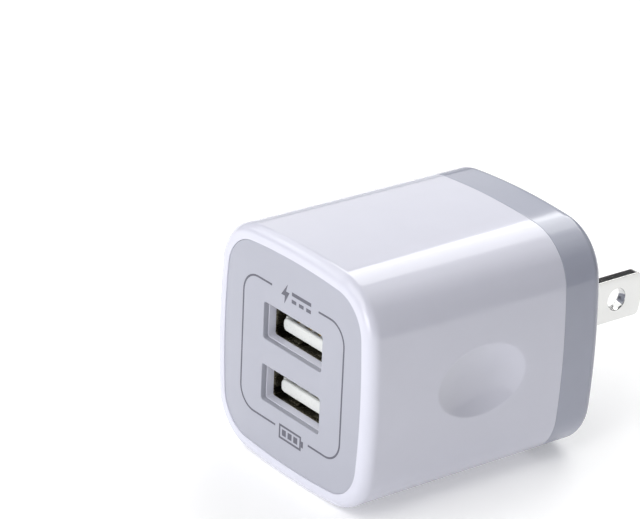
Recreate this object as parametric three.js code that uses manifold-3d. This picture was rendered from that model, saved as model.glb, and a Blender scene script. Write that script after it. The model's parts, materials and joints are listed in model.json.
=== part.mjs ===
// Two-port USB wall charger with fixed flat blades, built as an assembly of named pieces.
// Millimetres. The origin is the centre of the face that meets the wall outlet: +Y points into the
// wall, +Z is up and the two USB ports face -Y.
import * as THREE from "three";
import { mergeVertices } from "three/addons/utils/BufferGeometryUtils.js";
import Module from "manifold-3d";

const wasm = await Module();
wasm.setup();

// ---- Driving dimensions -------------------------------------------------------------------------

// Body: a rounded square with slightly bowed sides, one section all along its length.
const BODY_HALF = 16.8; // half the width and height, at the middle of a side
const BODY_LENGTH = 38.8; // port face to wall face
const SIDE_BOW = 1.35; // how far a side stands out beyond its ends
const CORNER_R = 7.7;
const CORNER_STEPS = 8;
const FLAT_HALF = 5; // half the width of the flat along the middle of each side
const FRONT_FILLET = 1.5;
const REAR_FILLET = 1.6;
const FILLET_STEPS = 4;
const WALL = 1.9;
const FIT_GAP = 0.15; // clearance between pieces that fit into each other
const SEAM_GAP = 0.05; // between faces that meet
const BITE = 0.5; // how far solids that become one piece run into each other
const PAST = 1; // how far a cutting shape runs past the face that it cuts

const FRONT_Y = -BODY_LENGTH;
const SEAM_Y = -6.6; // where the housing meets the rear cover
const LAP_LENGTH = 2.5; // the housing's lip inside the rear cover
const LAP_INSET = 1.0;

// Finger grips, one dished hollow on each side.
const GRIP_Y = -20.4;
const GRIP_DEPTH = 1.3;
const GRIP_RADII = new THREE.Vector3(8, 13.4, 9.3); // of the ellipsoid that cuts the hollow
const GRIP_SEGMENTS = 28;
const GRIP_HALF_LENGTH = 7.6; // the stretch of the body that a hollow takes up

// Front: a grey panel pegged to a white frame, which sits in a rebate and hooks behind a ledge.
const PANEL_INSET = 2.1;
const PANEL_RECESS = 0.12;
const PANEL_THICKNESS = 0.8;
const PANEL_OPENING_EASE = 0.05; // how far a panel opening stands back from the frame's, all round
const PEG_R = 0.8;
const PEG_SPOT = 10.4; // a peg stands this far out along X and Z in each corner
const PEG_LENGTH = 0.65;
const FRAME_THICKNESS = 0.65;
const REBATE_DEPTH = 1.7;
const LEDGE_WIDTH = 1.3;
const LEDGE_THICKNESS = 1.3;
const HOOK_WIDTH = 4;
const HOOK_THICKNESS = 0.9;
const HOOK_LIP = 0.5;
const HOOK_HEAD = 1.3; // length of a hook's head, along Y

// USB-A ports, one above the other.
const PORT_WIDTH = 12.5;
const PORT_HEIGHT = 5.12;
const PORT_PITCH = 8.9;
const STACK_Z = -0.3;
const PORT_Z = { upper: STACK_Z + PORT_PITCH / 2, lower: STACK_Z - PORT_PITCH / 2 };
const COLLAR_WALL = 0.8;
const SHELL_WALL = 0.3;
const SHELL_FRONT_Y = FRONT_Y + 2.2;
const SHELL_DEPTH = 16.4;
const TONGUE_WIDTH = 11.1;
const TONGUE_THICKNESS = 1.84;
const TONGUE_LIFT = 0.72; // gap between the bottom of a port and its tongue
const TONGUE_SETBACK = 0.6;
const CONTACT_X = [-3.5, -1, 1, 3.5];
const CONTACT_WIDTH = 1.0;
const CONTACT_THICKNESS = 0.25;
const CONTACT_GROOVE = 1.5;
const CONTACT_SETBACK = 1.1; // from the tongue's tip to a contact's tip
const CONTACT_BOW = 0.25; // how far a contact stands out of the tongue
const GROOVE_SETBACK = 0.6;
const DROP_ROOM = 0.5; // in front of and behind a contact where it drops to the board
const WEB_GAP = 0.1;
const GROOVE_DEPTH = 1.2; // into the tongue from above, with room for a contact to be pushed down

// Mains blades: the flat two-blade pattern, 12.7 mm apart.
const BLADE_PITCH = 12.7;
const BLADE_WIDTH = 6.35;
const BLADE_THICKNESS = 1.5;
const BLADE_LENGTH = 16.2;
const BLADE_TIP_CROWN = 0.5;
const BLADE_TIP_CORNER = 0.8;
const BLADE_TIP_PULL = 0.15; // how far the control points of the tip's curve stand out
const BLADE_HOLE_R = 1.6;
const BLADE_HOLE_Y = 11.6;
const BLADE_NECK_WIDTH = 4;
const BLADE_SHOULDER_Y = -4.3;
const BLADE_TAIL_Y = -8;
const STRIP_Y = BLADE_TAIL_Y - 1.4; // where a contact strip stands on the board
const STRIP_TOUCH_GAP = 0.3;
const STRIP_THICKNESS = 0.25;
const STRIP_WIDTH = 3;
const COVER_PLATE = 2.2;
const BOSS_DEPTH = 1.9;
const BOSS_WALL = 1.4;
const RETAINER_THICKNESS = 1.6;
const POST_R = 0.9;
const POST_Z = 2.3;
const POST_STUB = 0.5; // how far a melted post stands out of the retainer
const POST_STEPS = 12;
const RETAINER_MARGIN = { x: 2.6, z: 0.8 }; // beyond the blades
const RETAINER_BACK_Y = BLADE_SHOULDER_Y - FIT_GAP;
const RETAINER_FRONT_Y = RETAINER_BACK_Y - RETAINER_THICKNESS;

// Circuit board and what stands on it.
const BOARD_TOP_Z = -7.95;
const BOARD_THICKNESS = 1.2;
const BOARD_HALF_WIDTH = 14.3;
const BOARD_FRONT_Y = -34.6;
const BOARD_REAR_Y = -4.8;
const RAIL_REACH = 0.7;
const RAIL_HEIGHT = 1.0;
const RAIL_START = 5; // behind the port face
const RAIL_END_GAP = 0.5; // short of the lip's end
const RAIL_SKIN = 1.4; // how far the rails stay inside the body's outline
const LEAD_R = 0.3;
const LEAD_HOLE_R = 0.55;
const LEAD_BELOW = 0.9; // how far a soldered lead stands out under the board
const STANDOFF = 0.2;
const SOLDER_GAP = 0.05; // under a part that lies on the board
const CHIP_LIFT = 0.15;
const CHIP_KNEE = 0.45; // how far out a chip's lead bends
const CHIP_LEAD_HALF = 0.22;
const CHIP_LEAD_THICKNESS = 0.2;
const ROUND_STEPS = 20;
const BARREL_STEPS = 16;
const LEAD_STEPS = 6;
const HOLE_STEPS = 8;

const BOARD_UNDER_Z = BOARD_TOP_Z - BOARD_THICKNESS;
const LEAD_END_Z = BOARD_UNDER_Z - LEAD_BELOW;

// ---- Materials ----------------------------------------------------------------------------------

const material = (color, roughness, metalness = 0) =>
  new THREE.MeshStandardMaterial({ color, roughness, metalness });

const MATERIALS = {
  whitePlastic: material(0xf2f1f6, 0.18),
  greyPlastic: material(0xb9bdc8, 0.25),
  panelPlastic: material(0xc9ccd6, 0.4),
  tonguePlastic: material(0xeef0ea, 0.35),
  blackPlastic: material(0x1c1c1e, 0.5),
  nickel: material(0xd9d7d2, 0.18, 1),
  steel: material(0xb8b8bc, 0.25, 1),
  gold: material(0xc9a350, 0.25, 1),
  bronze: material(0xb98a55, 0.3, 1),
  boardGreen: material(0x1f5a34, 0.45),
  ferrite: material(0x35353a, 0.6),
  windingTape: material(0xd9b32a, 0.4),
  copper: material(0xb4623a, 0.35, 1),
  capSleeve: material(0x22313f, 0.35),
  capSleeveGreen: material(0x2c5a46, 0.35),
  ceramicBlue: material(0x2f6fae, 0.4),
  resistorBody: material(0x6fa08c, 0.5),
  filmClear: material(0xe8e2c8, 0.5),
};

// ---- Solid helpers ------------------------------------------------------------------------------

// A closed three.js geometry as a manifold solid.
function solid(geometry) {
  const bare = geometry.clone();
  bare.deleteAttribute("normal");
  bare.deleteAttribute("uv");
  const merged = mergeVertices(bare, 1e-4);
  return new wasm.Manifold(
    new wasm.Mesh({
      numProp: 3,
      vertProperties: new Float32Array(merged.attributes.position.array),
      triVerts: new Uint32Array(merged.index.array),
    }),
  );
}

// A manifold solid as a three.js geometry.
function geometryOf(made) {
  const { vertProperties, triVerts } = made.getMesh();
  const geometry = new THREE.BufferGeometry();
  geometry.setAttribute("position", new THREE.BufferAttribute(vertProperties, 3));
  geometry.setIndex(new THREE.BufferAttribute(triVerts, 1));
  geometry.computeVertexNormals();
  return geometry;
}

const join = (...solids) => solids.reduce((whole, piece) => whole.add(piece));
const cut = (whole, ...holes) => holes.reduce((left, hole) => left.subtract(hole), whole);

// A box from its lowest and highest corners.
function box(low, high) {
  const size = high.map((value, i) => value - low[i]);
  const middle = high.map((value, i) => (value + low[i]) / 2);
  return solid(new THREE.BoxGeometry(...size).translate(...middle));
}

// A cylinder along Z from low to high.
function rodZ(radius, low, high, x = 0, y = 0, steps = LEAD_STEPS) {
  const geometry = new THREE.CylinderGeometry(radius, radius, high - low, steps);
  return solid(geometry.rotateX(Math.PI / 2).translate(x, y, (low + high) / 2));
}

// A cylinder along Y from low to high.
function rodY(radius, low, high, x = 0, z = 0, steps = LEAD_STEPS) {
  const geometry = new THREE.CylinderGeometry(radius, radius, high - low, steps);
  return solid(geometry.translate(x, (low + high) / 2, z));
}

// A shape drawn in (Y, Z), extruded along X and centred on x.
function slabX(shape, width, x = 0) {
  const geometry = new THREE.ExtrudeGeometry(shape, { depth: width, bevelEnabled: false, curveSegments: 6 });
  const turn = new THREE.Matrix4().makeBasis(
    new THREE.Vector3(0, 1, 0),
    new THREE.Vector3(0, 0, 1),
    new THREE.Vector3(1, 0, 0),
  );
  return solid(geometry.applyMatrix4(turn).translate(x - width / 2, 0, 0));
}

// A strip of constant thickness that follows a line of (Y, Z) points, as wide as width along X.
function strip(points, thickness, width) {
  const line = points.map(([y, z]) => new THREE.Vector2(y, z));
  const direction = (from, to) => to.clone().sub(from).normalize();
  const offset = (i, side) => {
    const leaving = i < line.length - 1 ? direction(line[i], line[i + 1]) : direction(line[i - 1], line[i]);
    const entering = i > 0 ? direction(line[i - 1], line[i]) : leaving;
    const mean = entering.clone().add(leaving).normalize();
    const normal = new THREE.Vector2(-mean.y, mean.x);
    const mitre = thickness / 2 / Math.max(0.5, mean.dot(leaving));
    return line[i].clone().addScaledVector(normal, side * mitre);
  };
  const left = line.map((_, i) => offset(i, 1));
  const right = line.map((_, i) => offset(i, -1));
  return slabX(new THREE.Shape([...right, ...left.reverse()]), width);
}

function mesh(name, made, finish, position = [0, 0, 0]) {
  const node = new THREE.Mesh(geometryOf(made), finish);
  node.name = name;
  node.position.set(...position);
  return node;
}

// ---- Body section -------------------------------------------------------------------------------

// The section's outline in (X, Z), anticlockwise seen from -Y, moved inwards by inset.
function bodyOutline(inset) {
  const sideR = (BODY_HALF ** 2 + SIDE_BOW ** 2) / (2 * SIDE_BOW);
  const sideCentre = BODY_HALF - sideR;
  const reach = sideR - CORNER_R;
  const cornerCentre = (sideCentre + Math.sqrt(2 * reach ** 2 - sideCentre ** 2)) / 2;
  const start = Math.atan2(cornerCentre, cornerCentre - sideCentre);
  const sweep = Math.PI / 2 - 2 * start;
  const quadrant = [
    new THREE.Vector2(BODY_HALF - inset, -FLAT_HALF),
    new THREE.Vector2(BODY_HALF - inset, FLAT_HALF),
  ];
  for (let i = 0; i <= CORNER_STEPS; i++) {
    const angle = start + (sweep * i) / CORNER_STEPS;
    quadrant.push(
      new THREE.Vector2(
        cornerCentre + (CORNER_R - inset) * Math.cos(angle),
        cornerCentre + (CORNER_R - inset) * Math.sin(angle),
      ),
    );
  }
  const origin = new THREE.Vector2();
  return [0, 1, 2, 3].flatMap((turn) =>
    quadrant.map((point) => point.clone().rotateAround(origin, (turn * Math.PI) / 2)),
  );
}

// A solid through body sections: each ring is [y, inset], from the lowest y to the highest.
function bodyLoft(rings) {
  const sections = rings.map(([y, inset]) => bodyOutline(inset).map((p) => [p.x, y, p.y]));
  const count = sections[0].length;
  const positions = sections.flat(2);
  const frontCentre = positions.length / 3;
  positions.push(0, rings[0][0], 0, 0, rings.at(-1)[0], 0);
  const index = [];
  const lastRing = (sections.length - 1) * count;
  for (let i = 0; i < count; i++) {
    const next = (i + 1) % count;
    index.push(frontCentre, i, next);
    index.push(frontCentre + 1, lastRing + next, lastRing + i);
    for (let ring = 0; ring < lastRing; ring += count) {
      index.push(ring + i, ring + count + i, ring + next);
      index.push(ring + next, ring + count + i, ring + count + next);
    }
  }
  const geometry = new THREE.BufferGeometry();
  geometry.setAttribute("position", new THREE.Float32BufferAttribute(positions, 3));
  geometry.setIndex(index);
  return solid(geometry);
}

// Rings of a quarter-round edge that ends at edgeY; inward is +1 if the body lies towards +Y.
function filletRings(edgeY, radius, inward) {
  const rings = [];
  for (let i = 0; i <= FILLET_STEPS; i++) {
    const angle = (i / FILLET_STEPS) * (Math.PI / 2);
    rings.push([edgeY + inward * radius * (1 - Math.cos(angle)), radius * (1 - Math.sin(angle))]);
  }
  return inward > 0 ? rings : rings.reverse();
}

// ---- Housing, front panel and rear cover --------------------------------------------------------

function gripHollow(side) {
  const geometry = new THREE.SphereGeometry(1, GRIP_SEGMENTS, GRIP_SEGMENTS);
  geometry.rotateZ(Math.PI / 2); // the pole faces along X, so the rings follow the hollow
  geometry.scale(...GRIP_RADII);
  const centreX = side * (BODY_HALF - GRIP_DEPTH + GRIP_RADII.x);
  return solid(geometry.translate(centreX, GRIP_Y, 0));
}

// Ribs inside the left and right walls, above and below the board's edges.
function boardRails() {
  const reach = BODY_HALF - WALL - RAIL_REACH;
  const y = [FRONT_Y + RAIL_START, SEAM_Y + LAP_LENGTH - RAIL_END_GAP];
  const levels = [
    [BOARD_TOP_Z + FIT_GAP, BOARD_TOP_Z + FIT_GAP + RAIL_HEIGHT],
    [BOARD_UNDER_Z - FIT_GAP - RAIL_HEIGHT, BOARD_UNDER_Z - FIT_GAP],
  ];
  return [-1, 1].flatMap((side) =>
    levels.map(([low, high]) => {
      const ends = [side * reach, side * (BODY_HALF - WALL + BITE)].sort((a, b) => a - b);
      return box([ends[0], y[0], low], [ends[1], y[1], high]);
    }),
  );
}

function mainHousing() {
  const ledgeY = FRONT_Y + REBATE_DEPTH;
  const ledgeBackY = ledgeY + LEDGE_THICKNESS;
  const outside = bodyLoft([
    ...filletRings(FRONT_Y, FRONT_FILLET, 1),
    [GRIP_Y - GRIP_HALF_LENGTH, 0],
    [GRIP_Y + GRIP_HALF_LENGTH, 0],
    [SEAM_Y, 0],
  ]);
  const lip = bodyLoft([
    [SEAM_Y - PAST, LAP_INSET + SEAM_GAP],
    [SEAM_Y + LAP_LENGTH, LAP_INSET + SEAM_GAP],
  ]);
  const hollow = bodyLoft([
    [ledgeBackY, WALL],
    [SEAM_Y + LAP_LENGTH + PAST, WALL],
  ]);
  const rebate = bodyLoft([
    [FRONT_Y - PAST, PANEL_INSET],
    [ledgeY, PANEL_INSET],
  ]);
  const window = bodyLoft([
    [FRONT_Y - PAST, PANEL_INSET + LEDGE_WIDTH],
    [ledgeBackY + PAST, PANEL_INSET + LEDGE_WIDTH],
  ]);
  const shell = cut(join(outside, lip), hollow, rebate, window, gripHollow(1), gripHollow(-1));
  const railLimit = bodyLoft([
    [FRONT_Y, RAIL_SKIN],
    [0, RAIL_SKIN],
  ]);
  return join(shell, ...boardRails().map((rail) => rail.intersect(railLimit)));
}

// Hooks behind the frame that catch on the back of the housing's ledge, one at each side.
function frameHooks(backY) {
  const outer = BODY_HALF - PANEL_INSET - LEDGE_WIDTH - FIT_GAP;
  const inner = outer - HOOK_THICKNESS;
  const catchY = FRONT_Y + REBATE_DEPTH + LEDGE_THICKNESS + FIT_GAP;
  const outline = new THREE.Shape(
    [
      [backY - BITE, inner],
      [catchY + HOOK_HEAD, inner],
      [catchY + HOOK_HEAD, outer - HOOK_THICKNESS / 2],
      [catchY + HOOK_LIP, outer + HOOK_LIP],
      [catchY, outer + HOOK_LIP],
      [catchY, outer],
      [backY - BITE, outer],
    ].map(([y, z]) => new THREE.Vector2(y, z)),
  );
  const top = slabX(outline, HOOK_WIDTH);
  return [0, 90, 180, 270].map((turn) => top.rotate([0, turn, 0]));
}

// Cylinders along Y in the panel's four corners: its pegs, or the frame's holes for them.
function cornerPegs(radius, low, high) {
  const peg = rodY(radius, low, high, 0, 0, ROUND_STEPS);
  return [-PEG_SPOT, PEG_SPOT].flatMap((x) => [-PEG_SPOT, PEG_SPOT].map((z) => peg.translate(x, 0, z)));
}

// The space in front of the receptacle, widened all round by ease.
function portOpenings(ease) {
  const halfWidth = PORT_WIDTH / 2 + ease;
  const halfHeight = PORT_HEIGHT / 2 + ease;
  return Object.values(PORT_Z).map((z) =>
    box([-halfWidth, FRONT_Y - PAST, z - halfHeight], [halfWidth, SHELL_FRONT_Y + PAST, z + halfHeight]),
  );
}

const PANEL_FACE_Y = FRONT_Y + PANEL_RECESS;
const PANEL_BACK_Y = PANEL_FACE_Y + PANEL_THICKNESS;

function frontPanel() {
  const plate = bodyLoft([
    [PANEL_FACE_Y, PANEL_INSET + FIT_GAP],
    [PANEL_BACK_Y, PANEL_INSET + FIT_GAP],
  ]);
  const pegs = cornerPegs(PEG_R, PANEL_BACK_Y - BITE, PANEL_BACK_Y + PEG_LENGTH);
  return cut(join(plate, ...pegs), ...portOpenings(PANEL_OPENING_EASE));
}

function portFrame() {
  const frontY = PANEL_BACK_Y + SEAM_GAP;
  const backY = frontY + FRAME_THICKNESS;
  const plate = bodyLoft([
    [frontY, PANEL_INSET + FIT_GAP],
    [backY, PANEL_INSET + FIT_GAP],
  ]);
  const collarX = PORT_WIDTH / 2 + COLLAR_WALL;
  const collarZ = PORT_HEIGHT / 2 + COLLAR_WALL;
  const collarEnd = SHELL_FRONT_Y - FIT_GAP;
  const collars = Object.values(PORT_Z).map((z) =>
    box([-collarX, backY - BITE, z - collarZ], [collarX, collarEnd, z + collarZ]),
  );
  const holes = cornerPegs(PEG_R + FIT_GAP, frontY - PAST, backY + PAST);
  return cut(join(plate, ...frameHooks(backY), ...collars), ...portOpenings(0), ...holes);
}

function rearCover() {
  const outside = bodyLoft([[SEAM_Y + SEAM_GAP, 0], ...filletRings(0, REAR_FILLET, -1)]);
  const pocket = bodyLoft([
    [SEAM_Y - PAST, WALL],
    [-COVER_PLATE, WALL],
  ]);
  const lap = bodyLoft([
    [SEAM_Y - PAST, LAP_INSET - SEAM_GAP],
    [SEAM_Y + LAP_LENGTH + FIT_GAP, LAP_INSET - SEAM_GAP],
  ]);
  const slotX = BLADE_THICKNESS / 2 + FIT_GAP;
  const slotZ = BLADE_WIDTH / 2 + FIT_GAP;
  const bossX = slotX + BOSS_WALL;
  const bossZ = slotZ + BOSS_WALL;
  const bossEnd = -COVER_PLATE - BOSS_DEPTH;
  const bosses = [];
  const slots = [];
  for (const x of [-BLADE_PITCH / 2, BLADE_PITCH / 2]) {
    bosses.push(box([x - bossX, bossEnd, -bossZ], [x + bossX, -COVER_PLATE + BITE, bossZ]));
    slots.push(box([x - slotX, bossEnd - PAST, -slotZ], [x + slotX, PAST, slotZ]));
  }
  const postEnd = RETAINER_FRONT_Y - POST_STUB;
  const posts = [-POST_Z, POST_Z].map((z) => rodY(POST_R, postEnd, -COVER_PLATE + BITE, 0, z, POST_STEPS));
  return cut(join(cut(outside, pocket, lap), ...bosses, ...posts), ...slots);
}

// ---- Blades and how they are held ---------------------------------------------------------------

// One flat blade: a rounded tip with a hole through it, and a narrower tail inside the cover.
function blade() {
  const half = BLADE_WIDTH / 2;
  const neck = BLADE_NECK_WIDTH / 2;
  const shoulder = BLADE_LENGTH - BLADE_TIP_CROWN;
  const outline = new THREE.Shape();
  outline.moveTo(BLADE_TAIL_Y, -neck);
  outline.lineTo(BLADE_SHOULDER_Y, -neck);
  outline.lineTo(BLADE_SHOULDER_Y, -half);
  outline.lineTo(shoulder - BLADE_TIP_CORNER, -half);
  outline.quadraticCurveTo(shoulder, -half, shoulder + BLADE_TIP_PULL, -half + BLADE_TIP_CORNER);
  outline.quadraticCurveTo(
    BLADE_LENGTH + 2 * BLADE_TIP_PULL,
    0,
    shoulder + BLADE_TIP_PULL,
    half - BLADE_TIP_CORNER,
  );
  outline.quadraticCurveTo(shoulder, half, shoulder - BLADE_TIP_CORNER, half);
  outline.lineTo(BLADE_SHOULDER_Y, half);
  outline.lineTo(BLADE_SHOULDER_Y, neck);
  outline.lineTo(BLADE_TAIL_Y, neck);
  const hole = new THREE.CylinderGeometry(BLADE_HOLE_R, BLADE_HOLE_R, BLADE_THICKNESS * 2, ROUND_STEPS);
  return cut(slabX(outline, BLADE_THICKNESS), solid(hole.rotateZ(Math.PI / 2).translate(0, BLADE_HOLE_Y, 0)));
}

// The plate that traps both blade shoulders against the cover's bosses.
function bladeRetainer() {
  const halfX = BLADE_PITCH / 2 + RETAINER_MARGIN.x;
  const halfZ = BLADE_WIDTH / 2 + RETAINER_MARGIN.z;
  const low = RETAINER_FRONT_Y - PAST;
  const high = RETAINER_BACK_Y + PAST;
  const plate = box([-halfX, RETAINER_FRONT_Y, -halfZ], [halfX, RETAINER_BACK_Y, halfZ]);
  const slotX = BLADE_THICKNESS / 2 + FIT_GAP;
  const slotZ = BLADE_NECK_WIDTH / 2 + FIT_GAP;
  const slots = [-1, 1].map((side) => {
    const x = (side * BLADE_PITCH) / 2;
    return box([x - slotX, low, -slotZ], [x + slotX, high, slotZ]);
  });
  const holes = [-POST_Z, POST_Z].map((z) => rodY(POST_R + FIT_GAP, low, high, 0, z, POST_STEPS));
  return cut(plate, ...slots, ...holes);
}

// A sprung strip that stands on the board and presses on the end of a blade's tail.
function contactStrip() {
  const touchY = BLADE_TAIL_Y - STRIP_TOUCH_GAP;
  const path = [
    [STRIP_Y, LEAD_END_Z],
    [STRIP_Y, -3],
    [touchY - 0.3, -0.8],
    [touchY - STRIP_THICKNESS / 2, 0],
    [touchY - 0.3, 0.8],
    [STRIP_Y + 0.2, 2.4],
  ];
  return strip(path, STRIP_THICKNESS, STRIP_WIDTH);
}

// ---- USB receptacle -----------------------------------------------------------------------------

const STACK_HALF_WIDTH = PORT_WIDTH / 2 + SHELL_WALL;
const STACK_LOW_Z = PORT_Z.lower - PORT_HEIGHT / 2 - SHELL_WALL;
const STACK_HIGH_Z = PORT_Z.upper + PORT_HEIGHT / 2 + SHELL_WALL;
const SHELL_REAR_Y = SHELL_FRONT_Y + SHELL_DEPTH;
const SHELL_LEG_Y = [SHELL_FRONT_Y + 4, SHELL_FRONT_Y + 12];
const SHELL_LEG_WIDTH = 1.8;
const BLOCK_FRONT_Y = SHELL_REAR_Y - 4.2;
const BLOCK_REAR_Y = SHELL_REAR_Y - 0.3;
const CONTACT_ROOT_Y = BLOCK_FRONT_Y - 0.2; // where a sprung arm bends
const CONTACT_SINK = 0.45; // how deep a contact runs in its groove
const CONTACT_SPLIT = 0.08; // half the gap between a sprung arm and its tail
const CONTACT_DROP_Y = { upper: BLOCK_REAR_Y - 0.6, lower: BLOCK_FRONT_Y + 0.8 };
const TONGUE_TIP_Y = SHELL_FRONT_Y + TONGUE_SETBACK;
const tongueTopZ = (portZ) => portZ - PORT_HEIGHT / 2 + TONGUE_LIFT + TONGUE_THICKNESS;
const contactRunZ = (portZ) => tongueTopZ(portZ) - CONTACT_SINK;

// The stamped shield around both ports, open behind and where the contacts leave below.
function usbShell() {
  const front = SHELL_FRONT_Y;
  const inner = STACK_HALF_WIDTH - SHELL_WALL;
  const outside = box(
    [-STACK_HALF_WIDTH, front, STACK_LOW_Z],
    [STACK_HALF_WIDTH, SHELL_REAR_Y, STACK_HIGH_Z],
  );
  const inside = box(
    [-inner, front + SHELL_WALL, STACK_LOW_Z + SHELL_WALL],
    [inner, SHELL_REAR_Y + PAST, STACK_HIGH_Z - SHELL_WALL],
  );
  const contactExit = box(
    [-inner, BLOCK_FRONT_Y - SHELL_WALL, STACK_LOW_Z - PAST],
    [inner, SHELL_REAR_Y + PAST, STACK_LOW_Z + PAST],
  );
  const mouths = Object.values(PORT_Z).map((z) =>
    box([-inner, front - PAST, z - PORT_HEIGHT / 2], [inner, front + PAST, z + PORT_HEIGHT / 2]),
  );
  const legs = SHELL_LEG_Y.flatMap((y) =>
    [-1, 1].map((side) => {
      const x = side * (STACK_HALF_WIDTH - SHELL_WALL / 2);
      return box(
        [x - SHELL_WALL / 2, y - SHELL_LEG_WIDTH / 2, LEAD_END_Z],
        [x + SHELL_WALL / 2, y + SHELL_LEG_WIDTH / 2, STACK_LOW_Z + BITE],
      );
    }),
  );
  return join(cut(outside, inside, contactExit, ...mouths), ...legs);
}

// The moulding that carries both tongues and keeps the contacts apart.
function usbInsulator() {
  const half = STACK_HALF_WIDTH - SHELL_WALL - FIT_GAP;
  const low = STACK_LOW_Z + SHELL_WALL + FIT_GAP;
  const high = STACK_HIGH_Z - SHELL_WALL - FIT_GAP;
  const block = box([-half, BLOCK_FRONT_Y, low], [half, BLOCK_REAR_Y, high]);
  const web = box(
    [-half, SHELL_FRONT_Y + SHELL_WALL + FIT_GAP, PORT_Z.lower + PORT_HEIGHT / 2 + WEB_GAP],
    [half, BLOCK_FRONT_Y + BITE, PORT_Z.upper - PORT_HEIGHT / 2 - WEB_GAP],
  );
  const tongues = Object.values(PORT_Z).map((portZ) => {
    const top = tongueTopZ(portZ);
    return box(
      [-TONGUE_WIDTH / 2, TONGUE_TIP_Y, top - TONGUE_THICKNESS],
      [TONGUE_WIDTH / 2, BLOCK_FRONT_Y + BITE, top],
    );
  });
  const dropFront = { upper: CONTACT_DROP_Y.upper - DROP_ROOM, lower: BLOCK_FRONT_Y - WEB_GAP };
  const dropRear = { upper: BLOCK_REAR_Y + PAST, lower: CONTACT_DROP_Y.lower + DROP_ROOM };
  const side = CONTACT_GROOVE / 2;
  const grooves = Object.entries(PORT_Z).flatMap(([level, portZ]) => {
    const top = tongueTopZ(portZ) + FIT_GAP;
    const bottom = tongueTopZ(portZ) - GROOVE_DEPTH;
    return CONTACT_X.flatMap((x) => [
      box([x - side, TONGUE_TIP_Y + GROOVE_SETBACK, bottom], [x + side, dropRear[level], top]),
      box([x - side, dropFront[level], low - PAST], [x + side, dropRear[level], top]),
    ]);
  });
  return cut(join(block, web, ...tongues), ...grooves);
}

// The sprung arm of a contact: it runs forward in its groove and bows up to meet a plug.
function contactArm(portZ) {
  const top = tongueTopZ(portZ);
  const tipY = TONGUE_TIP_Y + CONTACT_SETBACK;
  const path = [
    [tipY, top - 0.4],
    [tipY + 0.9, top + 0.1],
    [tipY + 1.6, top + CONTACT_BOW],
    [tipY + 2.6, top + 0.1],
    [tipY + 5.5, contactRunZ(portZ)],
    [CONTACT_ROOT_Y - CONTACT_SPLIT, contactRunZ(portZ)],
  ];
  return strip(path, CONTACT_THICKNESS, CONTACT_WIDTH);
}

// The fixed end of a contact: back through the block and down through the board.
function contactTail(level) {
  const runZ = contactRunZ(PORT_Z[level]);
  const path = [
    [CONTACT_ROOT_Y + CONTACT_SPLIT, runZ],
    [CONTACT_DROP_Y[level], runZ],
    [CONTACT_DROP_Y[level], LEAD_END_Z],
  ];
  return strip(path, CONTACT_THICKNESS, CONTACT_WIDTH);
}

// ---- Transformer --------------------------------------------------------------------------------

const CORE_HALF_WIDTH = 5.7;
const CORE_DEPTH = 4.6;
const CORE_HEIGHT = 11.2;
const CORE_BACK = 1.7;
const CORE_LEG = 1.5;
const CORE_MIDDLE_LEG = 2.8;
const CORE_LOW_Z = BOARD_TOP_Z + 1.6;
const CORE_MIDDLE_Z = CORE_LOW_Z + CORE_HEIGHT / 2;
const TRANSFORMER_Y = -15.1;
const BOBBIN_HALF_DEPTH = 4.3;
const BOBBIN_WALL = 0.6;
const PIN_RAIL_HALF = 5.4;
const PIN_X = [-4, 0, 4];
const PIN_Y = BOBBIN_HALF_DEPTH - 0.6;
const PIN_DEPTH = 0.5; // how far a pin stays below the rail's top

// One E-shaped half of the core, on the side given as -1 or 1.
function coreHalf(side) {
  const halfDepth = CORE_DEPTH / 2;
  const levels = [
    [CORE_LOW_Z, CORE_LOW_Z + CORE_LEG],
    [CORE_MIDDLE_Z - CORE_MIDDLE_LEG / 2, CORE_MIDDLE_Z + CORE_MIDDLE_LEG / 2],
    [CORE_LOW_Z + CORE_HEIGHT - CORE_LEG, CORE_LOW_Z + CORE_HEIGHT],
  ];
  const span = (from, to, low, high) => {
    const ends = [side * from, side * to].sort((a, b) => a - b);
    return box([ends[0], -halfDepth, low], [ends[1], halfDepth, high]);
  };
  const back = span(CORE_HALF_WIDTH - CORE_BACK, CORE_HALF_WIDTH, CORE_LOW_Z, CORE_LOW_Z + CORE_HEIGHT);
  const legs = levels.map(([low, high]) => span(0.05, CORE_HALF_WIDTH - 0.5, low, high));
  return join(back, ...legs);
}

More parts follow.
